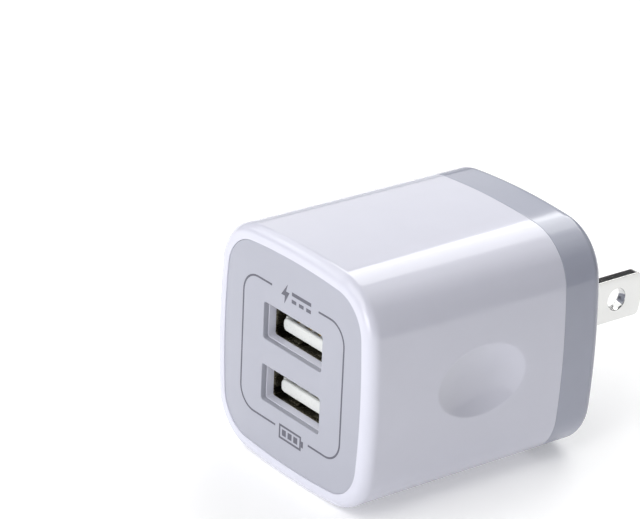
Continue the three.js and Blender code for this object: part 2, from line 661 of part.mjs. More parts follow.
// The spool: a square tube round the core's middle leg, two cheeks and two rails for the pins.
function bobbin() {
  const boreY = CORE_DEPTH / 2 + FIT_GAP;
  const boreZ = CORE_MIDDLE_LEG / 2 + FIT_GAP;
  const cheekX = CORE_HALF_WIDTH - CORE_BACK - FIT_GAP;
  const cheekZ = CORE_HEIGHT / 2 - CORE_LEG - FIT_GAP;
  const z = CORE_MIDDLE_Z;
  const tube = box(
    [-cheekX, -boreY - BOBBIN_WALL, z - boreZ - BOBBIN_WALL],
    [cheekX, boreY + BOBBIN_WALL, z + boreZ + BOBBIN_WALL],
  );
  const bore = box([-cheekX - PAST, -boreY, z - boreZ], [cheekX + PAST, boreY, z + boreZ]);
  const railLow = BOARD_TOP_Z + STANDOFF;
  const pieces = [tube];
  for (const side of [-1, 1]) {
    const ends = [side * (cheekX - BOBBIN_WALL), side * cheekX].sort((a, b) => a - b);
    pieces.push(box([ends[0], -BOBBIN_HALF_DEPTH, z - cheekZ], [ends[1], BOBBIN_HALF_DEPTH, z + cheekZ]));
    const rail = [side * boreY, side * BOBBIN_HALF_DEPTH].sort((a, b) => a - b);
    pieces.push(box([-PIN_RAIL_HALF, rail[0], railLow], [PIN_RAIL_HALF, rail[1], CORE_LOW_Z + 0.3]));
    for (const end of [-1, 1]) {
      const foot = [end * (cheekX - BOBBIN_WALL), end * cheekX].sort((a, b) => a - b);
      pieces.push(box([foot[0], rail[0], CORE_LOW_Z], [foot[1], rail[1], z - cheekZ + BITE]));
    }
  }
  const pinHoleTop = CORE_LOW_Z - PIN_DEPTH + 0.1;
  const pinHoles = PIN_X.flatMap((x) =>
    [-PIN_Y, PIN_Y].map((y) => rodZ(LEAD_R + FIT_GAP, railLow - PAST, pinHoleTop, x, y, HOLE_STEPS)),
  );
  return cut(join(...pieces), bore, ...pinHoles);
}

// The taped winding, wound round the spool's tube.
function winding() {
  const skin = FIT_GAP + BOBBIN_WALL + FIT_GAP;
  const halfX = CORE_HALF_WIDTH - CORE_BACK - skin;
  const tubeY = CORE_DEPTH / 2 + skin;
  const tubeZ = CORE_MIDDLE_LEG / 2 + skin;
  const build = 0.95;
  const corner = 0.9;
  const y = tubeY + build;
  const z = Math.min(tubeZ + build, CORE_HEIGHT / 2 - CORE_LEG - FIT_GAP);
  const outline = new THREE.Shape();
  outline.moveTo(-y + corner, -z);
  outline.lineTo(y - corner, -z);
  outline.absarc(y - corner, -z + corner, corner, -Math.PI / 2, 0);
  outline.absarc(y - corner, z - corner, corner, 0, Math.PI / 2);
  outline.absarc(-y + corner, z - corner, corner, Math.PI / 2, Math.PI);
  outline.absarc(-y + corner, -z + corner, corner, Math.PI, 1.5 * Math.PI);
  const core = box([-halfX - PAST, -tubeY, -tubeZ], [halfX + PAST, tubeY, tubeZ]);
  return cut(slabX(outline, halfX * 2), core);
}

// ---- Parts on the board -------------------------------------------------------------------------

// Where each leaded part stands, and its size. The leads of a part are 2 * leads apart; a looped
// lead comes down at a distance of loop along Y.
const INPUT_CAPS = { input_capacitor_left: [-10.1, -15.1], input_capacitor_right: [10.1, -15.1] };
const OUTPUT_CAPS = { output_capacitor_front: [-10.8, -31.1], output_capacitor_rear: [-10.8, -24.3] };
const INPUT_CAP = { radius: 3.85, height: 12.5, leads: 1.6 };
const OUTPUT_CAP = { radius: 3.1, height: 11, leads: 1.25 };
const DIODE = { x: 10.2, y: -31.4, radius: 2.2, height: 8.6, loop: 3.4 };
const CHOKE = { x: 10.6, y: -24.2, radius: 3.1, height: 6.4, waist: 1.6, flange: 1, leads: 1.5 };
const SAFETY_CAP = { x: 11, y: -8.2, radius: 2.9, halfThickness: 1.4, leads: 1.9 };
const RESISTOR = { x: -10.3, y: -6.4, radius: 1.15, height: 6.4, loop: -2.7 };
const FILTER = { x: -12.5, y: -9.3, radius: 1.5, height: 7.2, loop: 2.9 };

const BARRIER = { y: SHELL_REAR_Y + 0.45, thickness: 0.25, halfWidth: 6, top: 8 };

// A radial electrolytic capacitor: a sleeved can with a rolled groove, standing on two leads.
function canCapacitor({ radius, height, leads }) {
  const base = STANDOFF;
  const profile = [
    [0, base],
    [radius - 0.4, base],
    [radius, base + 0.3],
    [radius, base + 1.1],
    [radius - 0.35, base + 1.5],
    [radius, base + 1.9],
    [radius, height - 0.5],
    [radius - 0.5, height],
    [0, height],
  ].map(([r, z]) => new THREE.Vector2(r, z));
  const can = solid(new THREE.LatheGeometry(profile, ROUND_STEPS).rotateX(Math.PI / 2));
  const end = LEAD_END_Z - BOARD_TOP_Z;
  return join(can, rodZ(LEAD_R, end, base + BITE, 0, -leads), rodZ(LEAD_R, end, base + BITE, 0, leads));
}

// An axial part stood on end: a barrel with one lead straight down and one looped over beside it.
function uprightPart({ radius, height, loop }) {
  const end = LEAD_END_Z - BOARD_TOP_Z;
  const base = 0.6;
  const barrel = rodZ(radius, base, base + height, 0, 0, BARREL_STEPS);
  const down = rodZ(LEAD_R, end, base + BITE);
  const top = base + height;
  const arch = new THREE.CatmullRomCurve3(
    [
      new THREE.Vector3(0, 0, top - BITE),
      new THREE.Vector3(0, 0, top + 0.7),
      new THREE.Vector3(0, loop / 2, top + 1.3),
      new THREE.Vector3(0, loop, top + 0.7),
      new THREE.Vector3(0, loop, top - 1.5),
      new THREE.Vector3(0, loop, end),
    ],
    false,
    "catmullrom",
    0.3,
  );
  const section = new THREE.Shape(
    Array.from({ length: LEAD_STEPS }, (_, i) => {
      const angle = (i / LEAD_STEPS) * 2 * Math.PI;
      return new THREE.Vector2(LEAD_R * Math.cos(angle), LEAD_R * Math.sin(angle));
    }),
  );
  const lead = new THREE.ExtrudeGeometry(section, { steps: 18, extrudePath: arch, bevelEnabled: false });
  return join(barrel, down, solid(lead));
}

// A disc capacitor standing on its edge, with its face along Y.
function discCapacitor({ radius, halfThickness, leads }) {
  const profile = [
    [0, -halfThickness],
    [radius - 0.7, -halfThickness],
    [radius, -0.4],
    [radius, 0.4],
    [radius - 0.7, halfThickness],
    [0, halfThickness],
  ].map(([r, y]) => new THREE.Vector2(r, y));
  const centreZ = STANDOFF + 0.8 + radius;
  const disc = solid(new THREE.LatheGeometry(profile, ROUND_STEPS).translate(0, 0, centreZ));
  const end = LEAD_END_Z - BOARD_TOP_Z;
  const legs = [-leads, leads].map((x) => rodZ(LEAD_R, end, centreZ - radius / 2, x, 0));
  return join(disc, ...legs);
}

// The drum core of the output choke; its coil is a piece of its own.
function chokeCore() {
  const { radius, height, waist, flange, leads } = CHOKE;
  const profile = [
    [0, STANDOFF],
    [radius, STANDOFF],
    [radius, STANDOFF + flange],
    [waist, STANDOFF + flange],
    [waist, height - flange],
    [radius, height - flange],
    [radius, height],
    [0, height],
  ].map(([r, z]) => new THREE.Vector2(r, z));
  const drum = solid(new THREE.LatheGeometry(profile, ROUND_STEPS).rotateX(Math.PI / 2));
  const end = LEAD_END_Z - BOARD_TOP_Z;
  return join(drum, rodZ(LEAD_R, end, 0.6, 0, -leads), rodZ(LEAD_R, end, 0.6, 0, leads));
}

function chokeCoil() {
  const { radius, height, waist, flange } = CHOKE;
  const low = STANDOFF + flange + FIT_GAP;
  const high = height - flange - FIT_GAP;
  const profile = [
    [waist + FIT_GAP, low],
    [radius - 0.35, low],
    [radius - 0.2, (low + high) / 2],
    [radius - 0.35, high],
    [waist + FIT_GAP, high],
    [waist + FIT_GAP, low],
  ].map(([r, z]) => new THREE.Vector2(r, z));
  return solid(new THREE.LatheGeometry(profile, ROUND_STEPS).rotateX(Math.PI / 2));
}

// A surface-mount chip hanging under the board, with bent leads along both long edges.
function chip(width, length, height, leadsPerSide, leadPitch) {
  const half = width / 2;
  const exit = -height / 2 - SOLDER_GAP; // the top of a lead where it leaves the body
  const body = box([-half, -length / 2, -height - CHIP_LIFT], [half, length / 2, -CHIP_LIFT]);
  const leads = [];
  for (const side of [-1, 1]) {
    for (let i = 0; i < leadsPerSide; i++) {
      const y = (i - (leadsPerSide - 1) / 2) * leadPitch;
      const bar = (from, to, low, high) => {
        const ends = [side * (half + from), side * (half + to)].sort((a, b) => a - b);
        return box([ends[0], y - CHIP_LEAD_HALF, low], [ends[1], y + CHIP_LEAD_HALF, high]);
      };
      leads.push(bar(-0.2, CHIP_KNEE, exit - CHIP_LEAD_THICKNESS, exit));
      leads.push(bar(CHIP_KNEE - CHIP_LEAD_THICKNESS, CHIP_KNEE, exit - CHIP_LEAD_THICKNESS, -SOLDER_GAP));
      leads.push(bar(0.3, 0.95, -SOLDER_GAP - CHIP_LEAD_THICKNESS, -SOLDER_GAP));
    }
  }
  return join(body, ...leads);
}

// A surface-mount resistor under the board: a ceramic block.
const chipResistor = () => box([-1.6, -0.8, -0.65], [1.6, 0.8, -SOLDER_GAP]);

// The circuit board, with a hole for each lead, pin and leg that passes through it.
function mainBoard() {
  const board = box(
    [-BOARD_HALF_WIDTH, BOARD_FRONT_Y, BOARD_UNDER_Z],
    [BOARD_HALF_WIDTH, BOARD_REAR_Y, BOARD_TOP_Z],
  );
  const low = BOARD_UNDER_Z - PAST;
  const high = BOARD_TOP_Z + PAST;
  const hole = (x, y) => rodZ(LEAD_HOLE_R, low, high, x, y, HOLE_STEPS);
  const slot = (x, y, halfX, halfY) => box([x - halfX, y - halfY, low], [x + halfX, y + halfY, high]);
  const pair = (x, y, dx, dy) => [hole(x - dx, y - dy), hole(x + dx, y + dy)];
  const holes = [
    ...Object.values(INPUT_CAPS).flatMap(([x, y]) => pair(x, y, 0, INPUT_CAP.leads)),
    ...Object.values(OUTPUT_CAPS).flatMap(([x, y]) => pair(x, y, 0, OUTPUT_CAP.leads)),
    ...pair(CHOKE.x, CHOKE.y, 0, CHOKE.leads),
    ...pair(SAFETY_CAP.x, SAFETY_CAP.y, SAFETY_CAP.leads, 0),
    ...[DIODE, RESISTOR, FILTER].flatMap(({ x, y, loop }) => [hole(x, y), hole(x, y + loop)]),
    ...PIN_X.flatMap((x) => [-PIN_Y, PIN_Y].map((y) => hole(x, TRANSFORMER_Y + y))),
    ...SHELL_LEG_Y.flatMap((y) =>
      [-1, 1].map((side) => {
        const x = side * (STACK_HALF_WIDTH - SHELL_WALL / 2);
        return slot(x, y, 0.4, SHELL_LEG_WIDTH / 2 + 0.3);
      }),
    ),
    ...Object.values(CONTACT_DROP_Y).flatMap((y) => CONTACT_X.map((x) => slot(x, y, 0.7, 0.35))),
    ...[-1, 1].map((side) => slot((side * BLADE_PITCH) / 2, STRIP_Y, STRIP_WIDTH / 2 + 0.3, 0.4)),
  ];
  return cut(board, ...holes);
}

// ---- Assembly -----------------------------------------------------------------------------------

const M = MATERIALS;
const charger = new THREE.Group();
charger.name = "usb_wall_charger";

charger.add(
  mesh("main_housing", mainHousing(), M.whitePlastic),
  mesh("front_panel", frontPanel(), M.panelPlastic),
  mesh("port_frame", portFrame(), M.whitePlastic),
  mesh("rear_cover", rearCover(), M.greyPlastic),
);

const bladeSet = new THREE.Group();
for (const [name, side] of Object.entries({ left: -1, right: 1 })) {
  const x = (side * BLADE_PITCH) / 2;
  bladeSet.add(
    mesh(`blade_${name}`, blade(), M.nickel, [x, 0, 0]),
    mesh(`contact_strip_${name}`, contactStrip(), M.bronze, [x, 0, 0]),
  );
}
bladeSet.add(mesh("blade_retainer", bladeRetainer(), M.blackPlastic));
charger.add(bladeSet);

const receptacle = new THREE.Group();
receptacle.add(
  mesh("usb_shell", usbShell(), M.steel),
  mesh("usb_insulator", usbInsulator(), M.tonguePlastic),
);
for (const [level, portZ] of Object.entries(PORT_Z)) {
  CONTACT_X.forEach((x, i) => {
    receptacle.add(
      mesh(`contact_arm_${level}_${i + 1}`, contactArm(portZ), M.gold, [x, 0, 0]),
      mesh(`contact_tail_${level}_${i + 1}`, contactTail(level), M.gold, [x, 0, 0]),
    );
  });
}
charger.add(receptacle);

const transformer = new THREE.Group();
transformer.position.set(0, TRANSFORMER_Y, 0);
transformer.add(
  mesh("transformer_core_left", coreHalf(-1), M.ferrite),
  mesh("transformer_core_right", coreHalf(1), M.ferrite),
  mesh("transformer_bobbin", bobbin(), M.blackPlastic),
  mesh("transformer_winding", winding(), M.windingTape, [0, 0, CORE_MIDDLE_Z]),
);
let pinNumber = 0;
for (const y of [-PIN_Y, PIN_Y]) {
  for (const x of PIN_X) {
    pinNumber += 1;
    const pin = rodZ(LEAD_R, LEAD_END_Z, CORE_LOW_Z - PIN_DEPTH);
    transformer.add(mesh(`transformer_pin_${pinNumber}`, pin, M.nickel, [x, y, 0]));
  }
}
charger.add(transformer);

const topSide = new THREE.Group();
topSide.position.z = BOARD_TOP_Z;
for (const [name, [x, y]] of Object.entries(INPUT_CAPS))
  topSide.add(mesh(name, canCapacitor(INPUT_CAP), M.capSleeve, [x, y, 0]));
for (const [name, [x, y]] of Object.entries(OUTPUT_CAPS))
  topSide.add(mesh(name, canCapacitor(OUTPUT_CAP), M.capSleeveGreen, [x, y, 0]));
topSide.add(
  mesh("output_diode", uprightPart(DIODE), M.blackPlastic, [DIODE.x, DIODE.y, 0]),
  mesh("output_choke_core", chokeCore(), M.ferrite, [CHOKE.x, CHOKE.y, 0]),
  mesh("output_choke_coil", chokeCoil(), M.copper, [CHOKE.x, CHOKE.y, 0]),
  mesh("safety_capacitor", discCapacitor(SAFETY_CAP), M.ceramicBlue, [SAFETY_CAP.x, SAFETY_CAP.y, 0]),
  mesh("fusible_resistor", uprightPart(RESISTOR), M.resistorBody, [RESISTOR.x, RESISTOR.y, 0]),
  mesh("filter_inductor", uprightPart(FILTER), M.capSleeveGreen, [FILTER.x, FILTER.y, 0]),
);
charger.add(topSide);

const underside = new THREE.Group();
underside.position.z = BOARD_UNDER_Z;
underside.add(
  mesh("bridge_rectifier", chip(3.8, 4.7, 1.9, 2, 2.54), M.blackPlastic, [0, -8, 0]),
  mesh("controller_chip", chip(3.9, 4.9, 1.5, 4, 1.27), M.blackPlastic, [5.6, -15.1, 0]),
  mesh("optocoupler", chip(4.4, 3.6, 2, 2, 1.27), M.blackPlastic, [-5.4, -15.1, 0]),
);
const RESISTOR_SPOTS = [
  [9.5, -20.2],
  [-10.5, -20.2],
  [0, -27],
  [0, -30],
];
RESISTOR_SPOTS.forEach(([x, y], i) => {
  underside.add(mesh(`chip_resistor_${i + 1}`, chipResistor(), M.blackPlastic, [x, y, 0]));
});
charger.add(underside, mesh("main_board", mainBoard(), M.boardGreen));

const barrier = box(
  [-BARRIER.halfWidth, 0, BOARD_TOP_Z + STANDOFF],
  [BARRIER.halfWidth, BARRIER.thickness, BARRIER.top],
);
charger.add(mesh("insulation_barrier", barrier, M.filmClear, [0, BARRIER.y, 0]));

export default charger;
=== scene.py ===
"""The look of a two-port USB wall charger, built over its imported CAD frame.

Metres. The wall face is at y = 0, the ports face -Y and +Z is up.
"""

import json
import math

import bmesh
import bpy
from mathutils import Matrix, Vector


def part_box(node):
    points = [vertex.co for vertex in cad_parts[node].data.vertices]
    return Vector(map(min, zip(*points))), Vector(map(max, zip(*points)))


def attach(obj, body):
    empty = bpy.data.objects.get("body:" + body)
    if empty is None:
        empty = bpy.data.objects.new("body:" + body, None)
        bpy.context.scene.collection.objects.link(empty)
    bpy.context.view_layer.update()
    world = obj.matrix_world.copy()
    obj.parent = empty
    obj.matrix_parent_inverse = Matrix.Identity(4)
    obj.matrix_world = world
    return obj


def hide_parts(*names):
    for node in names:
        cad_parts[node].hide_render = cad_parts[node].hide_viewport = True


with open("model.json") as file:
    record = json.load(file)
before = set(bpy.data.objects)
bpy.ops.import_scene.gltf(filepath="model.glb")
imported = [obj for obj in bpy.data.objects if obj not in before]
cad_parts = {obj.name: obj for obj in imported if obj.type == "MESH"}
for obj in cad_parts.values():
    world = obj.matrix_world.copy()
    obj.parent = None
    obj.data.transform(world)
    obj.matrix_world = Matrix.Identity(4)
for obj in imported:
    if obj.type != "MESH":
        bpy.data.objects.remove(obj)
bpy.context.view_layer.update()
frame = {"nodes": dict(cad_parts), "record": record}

MM = 0.001

# ---- Sizes --------------------------------------------------------------------------------------

HOUSING_LOW, HOUSING_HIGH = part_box("main_housing")
HALF = HOUSING_HIGH.x
FRONT_Y = HOUSING_LOW.y
LIP_END_Y = HOUSING_HIGH.y
SEAM_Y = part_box("rear_cover")[0].y
PANEL_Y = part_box("front_panel")[0].y
SHELL_LOW, SHELL_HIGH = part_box("usb_shell")
INSULATOR_LOW, INSULATOR_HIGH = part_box("usb_insulator")
BLADE_LOW, BLADE_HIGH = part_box("blade_right")

# The body's section, and the seam between housing and rear cover.
SIDE_BOW = 1.35 * MM
CORNER_R = 7.7 * MM
FRONT_FILLET = 1.5 * MM
REAR_FILLET = 1.6 * MM
WALL = 1.9 * MM
LIP_INSET = 1.05 * MM
LAP_INSET = 0.95 * MM
SEAM_ROUND = 0.05 * MM
SEAM_GAP = 0.02 * MM
LAP_LENGTH = 2.65 * MM
# How far the loop that holds a flat face in place stands from a rounded edge.
SUPPORT = 0.1 * MM
SECTION_STEPS = 24
FILLET_STEPS = 8

# The housing's inner rails and the finger grip hollowed into each side.
RAIL_Z = [(-7.8 * MM, -6.8 * MM), (-10.3 * MM, -9.3 * MM)]
RAIL_REACH = 0.7 * MM
RAIL_ROOT = 0.5 * MM
RAIL_SETBACK = 5.0 * MM
RAIL_LAP = 2.0 * MM
RAIL_ROUND = 0.15 * MM

GRIP_Y = -20.4 * MM
GRIP_HALF_Y = 7.3 * MM
GRIP_HALF_Z = 5.0 * MM
GRIP_DEPTH = 1.3 * MM
# How softly the grip's hollow runs into the side.
GRIP_EDGE = 0.04
GRIP_REACH = 7.8 * MM
GRIP_ROW = 0.1 * MM
GRIP_SIDE_STEPS = 170

# The front panel with its pegs, and the frame behind it with its hooks.
PANEL_INSET = 2.1 * MM
PANEL_GAP = 0.02 * MM
PANEL_ROUND = 0.05 * MM
RIM_ROUND = 0.1 * MM
PANEL_THICKNESS = 0.8 * MM
PEG_R = 0.8 * MM
PEG_SPOT = 10.4 * MM
PEG_ROUND = 0.2 * MM
ROUND_STEPS = 24
FRAME_GAP = 0.05 * MM
FRAME_THICKNESS = 0.65 * MM
FIT_GAP = 0.15 * MM
REBATE_DEPTH = 1.7 * MM
LEDGE_WIDTH = 1.3 * MM
LEDGE_THICKNESS = 1.3 * MM
HOOK_WIDTH = 4.0 * MM
HOOK_THICKNESS = 0.9 * MM
HOOK_LIP = 0.5 * MM
HOOK_HEAD = 1.3 * MM
HOOK_ROUND = 0.05 * MM

# The ports, their metal shell and its springs, and the insulator.
PORT_HALF_X = 6.25 * MM
PORT_HALF_Z = 2.56 * MM
PORT_PITCH = 8.9 * MM
PORT_CORNER = 0.35 * MM
MOUTH_STEP = 0.05 * MM
MOUTH_ROUND = 0.1 * MM
COLLAR_WALL = 0.8 * MM
COLLAR_ROUND = 0.2 * MM
SHELL_WALL = 0.3 * MM
SHELL_SHEET = SHELL_WALL - 0.05 * MM
SHELL_CORNER = 0.5 * MM
SHELL_ROUND = 0.12 * MM
SHELL_MOUTH_ROUND = 0.08 * MM
HOOD_ROUND = 0.03 * MM
HOOD_LIFT = 1.0 * MM
SHELL_LOW_Z = SHELL_HIGH.z - 2 * SHELL_WALL - 2 * PORT_HALF_Z - PORT_PITCH
SHELL_LEG_Y = [SHELL_LOW.y + 4 * MM, SHELL_LOW.y + 12 * MM]
SHELL_LEG_HALF = 0.9 * MM
SHELL_LEG_LAP = 0.5 * MM
SHELL_LEG_ROUND = 0.05 * MM
EXIT_Y = SHELL_HIGH.y - 4.5 * MM
INSULATOR_BLOCK_Y = SHELL_HIGH.y - 4.2 * MM
INSULATOR_LAP = 0.3 * MM
INSULATOR_ROUND = 0.2 * MM
WEB_GAP = 0.1 * MM
WEB_LAP = 0.5 * MM
WEB_ROUND = 0.1 * MM
# How far the liner's underside and its top lie below the port's floor.
LINER_SINK = (0.09 * MM, 0.01 * MM)
LINER_ROUND = 0.03 * MM
SPRING_X = [-2.7 * MM, 2.7 * MM]
SPRING_HALF_WIDTH = 0.95 * MM
SPRING_HALF_THICKNESS = 0.1 * MM
# A spring's points, in millimetres behind the shell's front and above the port's floor.
SPRING_LINE = [(0.6, 0.02), (1.6, 0.32), (2.6, 0.44), (4.0, 0.34), (7.5, -0.04)]
UPPER_Z = SHELL_HIGH.z - SHELL_WALL - PORT_HALF_Z
PORT_Z = {"upper": UPPER_Z, "lower": UPPER_Z - PORT_PITCH}

# The tongues and their contacts.
TONGUE_HALF_X = 5.55 * MM
TONGUE_THICKNESS = 1.84 * MM
TONGUE_LIFT = 0.72 * MM
TONGUE_SETBACK = 0.6 * MM
CONTACT_X = [-3.5 * MM, -1.0 * MM, 1.0 * MM, 3.5 * MM]
CONTACT_HALF_WIDTH = 0.5 * MM
CONTACT_THICKNESS = 0.25 * MM
CONTACT_SINK = 0.45 * MM
CONTACT_SETBACK = 0.06 * MM
# A contact's points, in millimetres behind its tip and above the tongue's top.
CONTACT_LINE = [(0, -0.4), (0.85, 0.1), (1.55, 0.25), (2.55, 0.1)]
CONTACT_RUN_START = 5.45 * MM
LEAF_ROUND = 0.6
LEAF_TAPER = 0.4
GROOVE_HALF = 0.75 * MM
GROOVE_DEPTH = 1.2 * MM
NOSE_ROUND = 0.7 * MM
NOSE_LENGTH = 0.7 * MM
NOSE_EDGE = 0.25 * MM
BAR_SETBACK = 0.45 * MM
BAR_ROUND = 0.04 * MM

# The blades, and the rear cover's slots, bosses and posts.
BLADE_PITCH_HALF = (BLADE_LOW.x + BLADE_HIGH.x) / 2
BLADE_THICKNESS = BLADE_HIGH.x - BLADE_LOW.x
BLADE_HALF_WIDTH = BLADE_HIGH.z
BLADE_HOLE_R = 1.6 * MM
BLADE_HOLE_Y = 11.6 * MM
BLADE_TIP_CROWN = 0.5 * MM
BLADE_TIP_CORNER = 0.8 * MM
TIP_CORNER_STEPS = 8
TIP_CROWN_STEPS = 12
BLADE_NECK_HALF = 2.0 * MM
BLADE_SHOULDER_Y = -4.3 * MM
BLADE_TAIL_Y = BLADE_LOW.y
BLADE_BEVEL = 0.06 * MM
BLADE_SUPPORT = 0.03 * MM
BEVEL_STEPS = 3
HOLE_BEVEL = 0.1 * MM
COVER_PLATE = 2.2 * MM
BOSS_DEPTH = 1.9 * MM
BOSS_WALL = 1.4 * MM
SLOT_GAP = 0.05 * MM
SLOT_ROUND = 0.08 * MM
SLOT_CORNER = 0.2 * MM
POST_R = 0.9 * MM
POST_Z = 2.3 * MM
POST_ROUND = 0.2 * MM

# The print on the front panel and on the rear cover.
INK_LIFT = 0.012 * MM
INK_DEPTH = 0.05 * MM
RING_HALF_X = 10.8 * MM
RING_HALF_Z = 9.75 * MM
RING_CORNER = 3.0 * MM
RING_LINE = 0.28 * MM
RING_STEPS = 12
# Where the ring's line stops beside a mark, on its left (-1) and its right (1).
RING_TOP_GAP = {-1: -4.7 * MM, 1: 5.3 * MM}
RING_BOTTOM_GAP = {-1: -2.9 * MM, 1: 4.25 * MM}
# The marks' shapes, as parts of their height or width.
BOLT_SHAPE = [(-0.05, -0.5), (0.3, 0.12), (0.04, 0.12), (0.16, 0.5), (-0.3, -0.12), (-0.03, -0.12)]
CURRENT_LINE = 0.24
CURRENT_BAR_RISE = 0.22
CURRENT_DASH = 0.24
CURRENT_DASH_DROP = 0.26
TOP_MARK_Z = 9.6 * MM
PANEL_BOLT_X = -1.8 * MM
PANEL_BOLT_HEIGHT = 2.9 * MM
PANEL_CURRENT_X = 1.65 * MM
PANEL_CURRENT_SIZE = (4.1 * MM, 2.1 * MM)
BOTTOM_MARK_Z = -10.2 * MM
BATTERY_X = 0.35 * MM
BATTERY_SIZE = (4.8 * MM, 2.1 * MM)
BATTERY_LINE = 0.3 * MM
BATTERY_CAP_X = 3.0 * MM
BATTERY_CAP_SIZE = (0.4 * MM, 0.9 * MM)
BATTERY_CELL_X = [-0.95 * MM, 0.3 * MM, 1.55 * MM]
BATTERY_CELL_SIZE = (0.85 * MM, 0.9 * MM)

# The rear print: for each row's height in millimetres, the lengths of the bars that stand for words.
REAR_ROWS = {
    13.0: [5.2, 5.6, 3.0],
    11.0: [3.2, 4.4, 2.4, 4.0],
    9.0: [2.6, 5.4, 3.2, 3.4],
    7.0: [3.6, 3.0, 4.6],
}
REAR_ROW_START = 8.6 * MM
WORD_GAP = 0.7
WORD_HEIGHT = 0.55 * MM
REAR_MARK_Z = -8.0 * MM
REAR_MARK_LINE = 0.25 * MM
SQUARE_X = 9.2 * MM
SQUARE_SIDES = {2.4 * MM: REAR_MARK_LINE, 1.2 * MM: 0.22 * MM}
HOUSE_X = 4.6 * MM
HOUSE_SHAPE = [(-1.1, -1.2), (1.1, -1.2), (1.1, 0.2), (0, 1.25), (-1.1, 0.2)]
REAR_BOLT_HEIGHT = 2.6 * MM
REAR_CURRENT_X = -4.6 * MM
REAR_CURRENT_SIZE = (2.6 * MM, 1.6 * MM)
RING_MARK_X = -9.2 * MM
RING_MARK_R = 1.2 * MM
RING_MARK_STEPS = 32
DOT_R = 0.45 * MM
DOT_STEPS = 20
UNDERLINE_Z = -12.4 * MM
UNDERLINE_SIZE = (13 * MM, 0.45 * MM)

# The studio.
FLOOR_R = 3.0
FLOOR_SIDES = 96
FLOOR_COLOR = (0.85, 0.85, 0.85)
FLOOR_GLOW = 0.25
WORLD_COLOR = (0.01, 0.01, 0.01)
MIDDLE = Vector((0, -19.4, 0)) * MM

# Each soft light: its name, the direction it hangs in, its distance, its (width, height), its radiance
# with 1 for a lit white wall, the direction of its width, and how far it fades at that end.
SOFT_LIGHTS = [
    ("strip_softbox", (-0.34, 0.614, 0.713), 0.9, (0.62, 0.55), 4.4, (0.87, 0, 0.49), 0.08),
    ("top_softbox", (0, 0, 1), 1.0, (1.0, 1.0), 0.4, (1, 0, 0), 0),
    ("top_front_softbox", (0, -0.7, 0.7), 1.0, (1.0, 0.7), 2.75, (1, 0, 0), 0),
    ("top_rear_softbox", (0.29, 0.6, 0.8), 1.0, (0.68, 0.6), 1.9, (1, 0, 0), 0.36),
    ("front_softbox", (0.34, -0.94, 0.15), 1.0, (0.6, 0.5), 5.6, (0.94, 0.34, 0), 0),
    ("rim_softbox", (-0.70, -0.09, 0.714), 1.0, (0.9, 0.4), 1.4, (0, 1, 0.06), 0),
    ("low_rim_softbox", (-0.694, -0.5, 0.5), 1.0, (0.45, 0.4), 1.9, (0.4, -0.694, 0), 0),
    ("low_softbox", (-0.695, 0.605, 0.39), 1.0, (0.5, 0.335), 1.1, (0.6, 0.69, 0), 0),
    ("horizon_softbox", (-0.75, 0.65, 0.09), 1.2, (1.6, 0.2), 0.55, (0.65, 0.75, 0), 0),
    ("rear_softbox", (0.3, 1, 0.35), 1.0, (0.8, 0.5), 0.5, (1, 0, 0), 0),
]
# A light that fades is this many sheets, hung one behind another.
LIGHT_SHEETS = 3
LIGHT_SHEET_GAP = 0.01

# The edge card darkens the reflection in the blades' top edges, the side card the light from the rear.
EDGE_CARD_SIZE = (42 * MM, 27 * MM)
EDGE_CARD_PLACE = Vector((-119, 138, 81)) * MM
EDGE_CARD_TURN = math.radians(49)
SIDE_CARD_SIZE = (130 * MM, 70 * MM)
SIDE_CARD_PLACE = Vector((88, 62, 23)) * MM
SIDE_CARD_TURN = math.radians(-50)

# The camera, fitted to the outlines in the photo.
CAMERA = Vector((286.9, -259.2, 174.8)) * MM
CAMERA_AIM = Vector((-10.32, -26.61, 8.35)) * MM
CAMERA_ROLL = math.radians(2.5)
CAMERA_LENS = 174.5
CAMERA_CLIP = (0.01, 20)

# ---- Materials ----------------------------------------------------------------------------------

NOISE_RANGE = (0.3, 0.7)
LOWEST_ROUGHNESS = 0.02


def noise(tree, size, detail=2.0, stretch=(1, 1, 1)):
    """A noise pattern fixed to the object, with features of about the given size in metres."""
    coords = tree.nodes.new("ShaderNodeTexCoord")
    mapping = tree.nodes.new("ShaderNodeMapping")
    mapping.inputs["Scale"].default_value = [s / size for s in stretch]
    texture = tree.nodes.new("ShaderNodeTexNoise")
    texture.inputs["Scale"].default_value = 1.0
    texture.inputs["Detail"].default_value = detail
    tree.links.new(coords.outputs["Object"], mapping.inputs["Vector"])
    tree.links.new(mapping.outputs["Vector"], texture.inputs["Vector"])
    return texture.outputs["Fac"]


def spread(tree, source, low, high):
    """Maps a pattern onto the numbers from low to high."""
    node = tree.nodes.new("ShaderNodeMapRange")
    node.inputs["From Min"].default_value = NOISE_RANGE[0]
    node.inputs["From Max"].default_value = NOISE_RANGE[1]
    node.inputs["To Min"].default_value = low
    node.inputs["To Max"].default_value = high
    tree.links.new(source, node.inputs["Value"])
    return node.outputs["Result"]


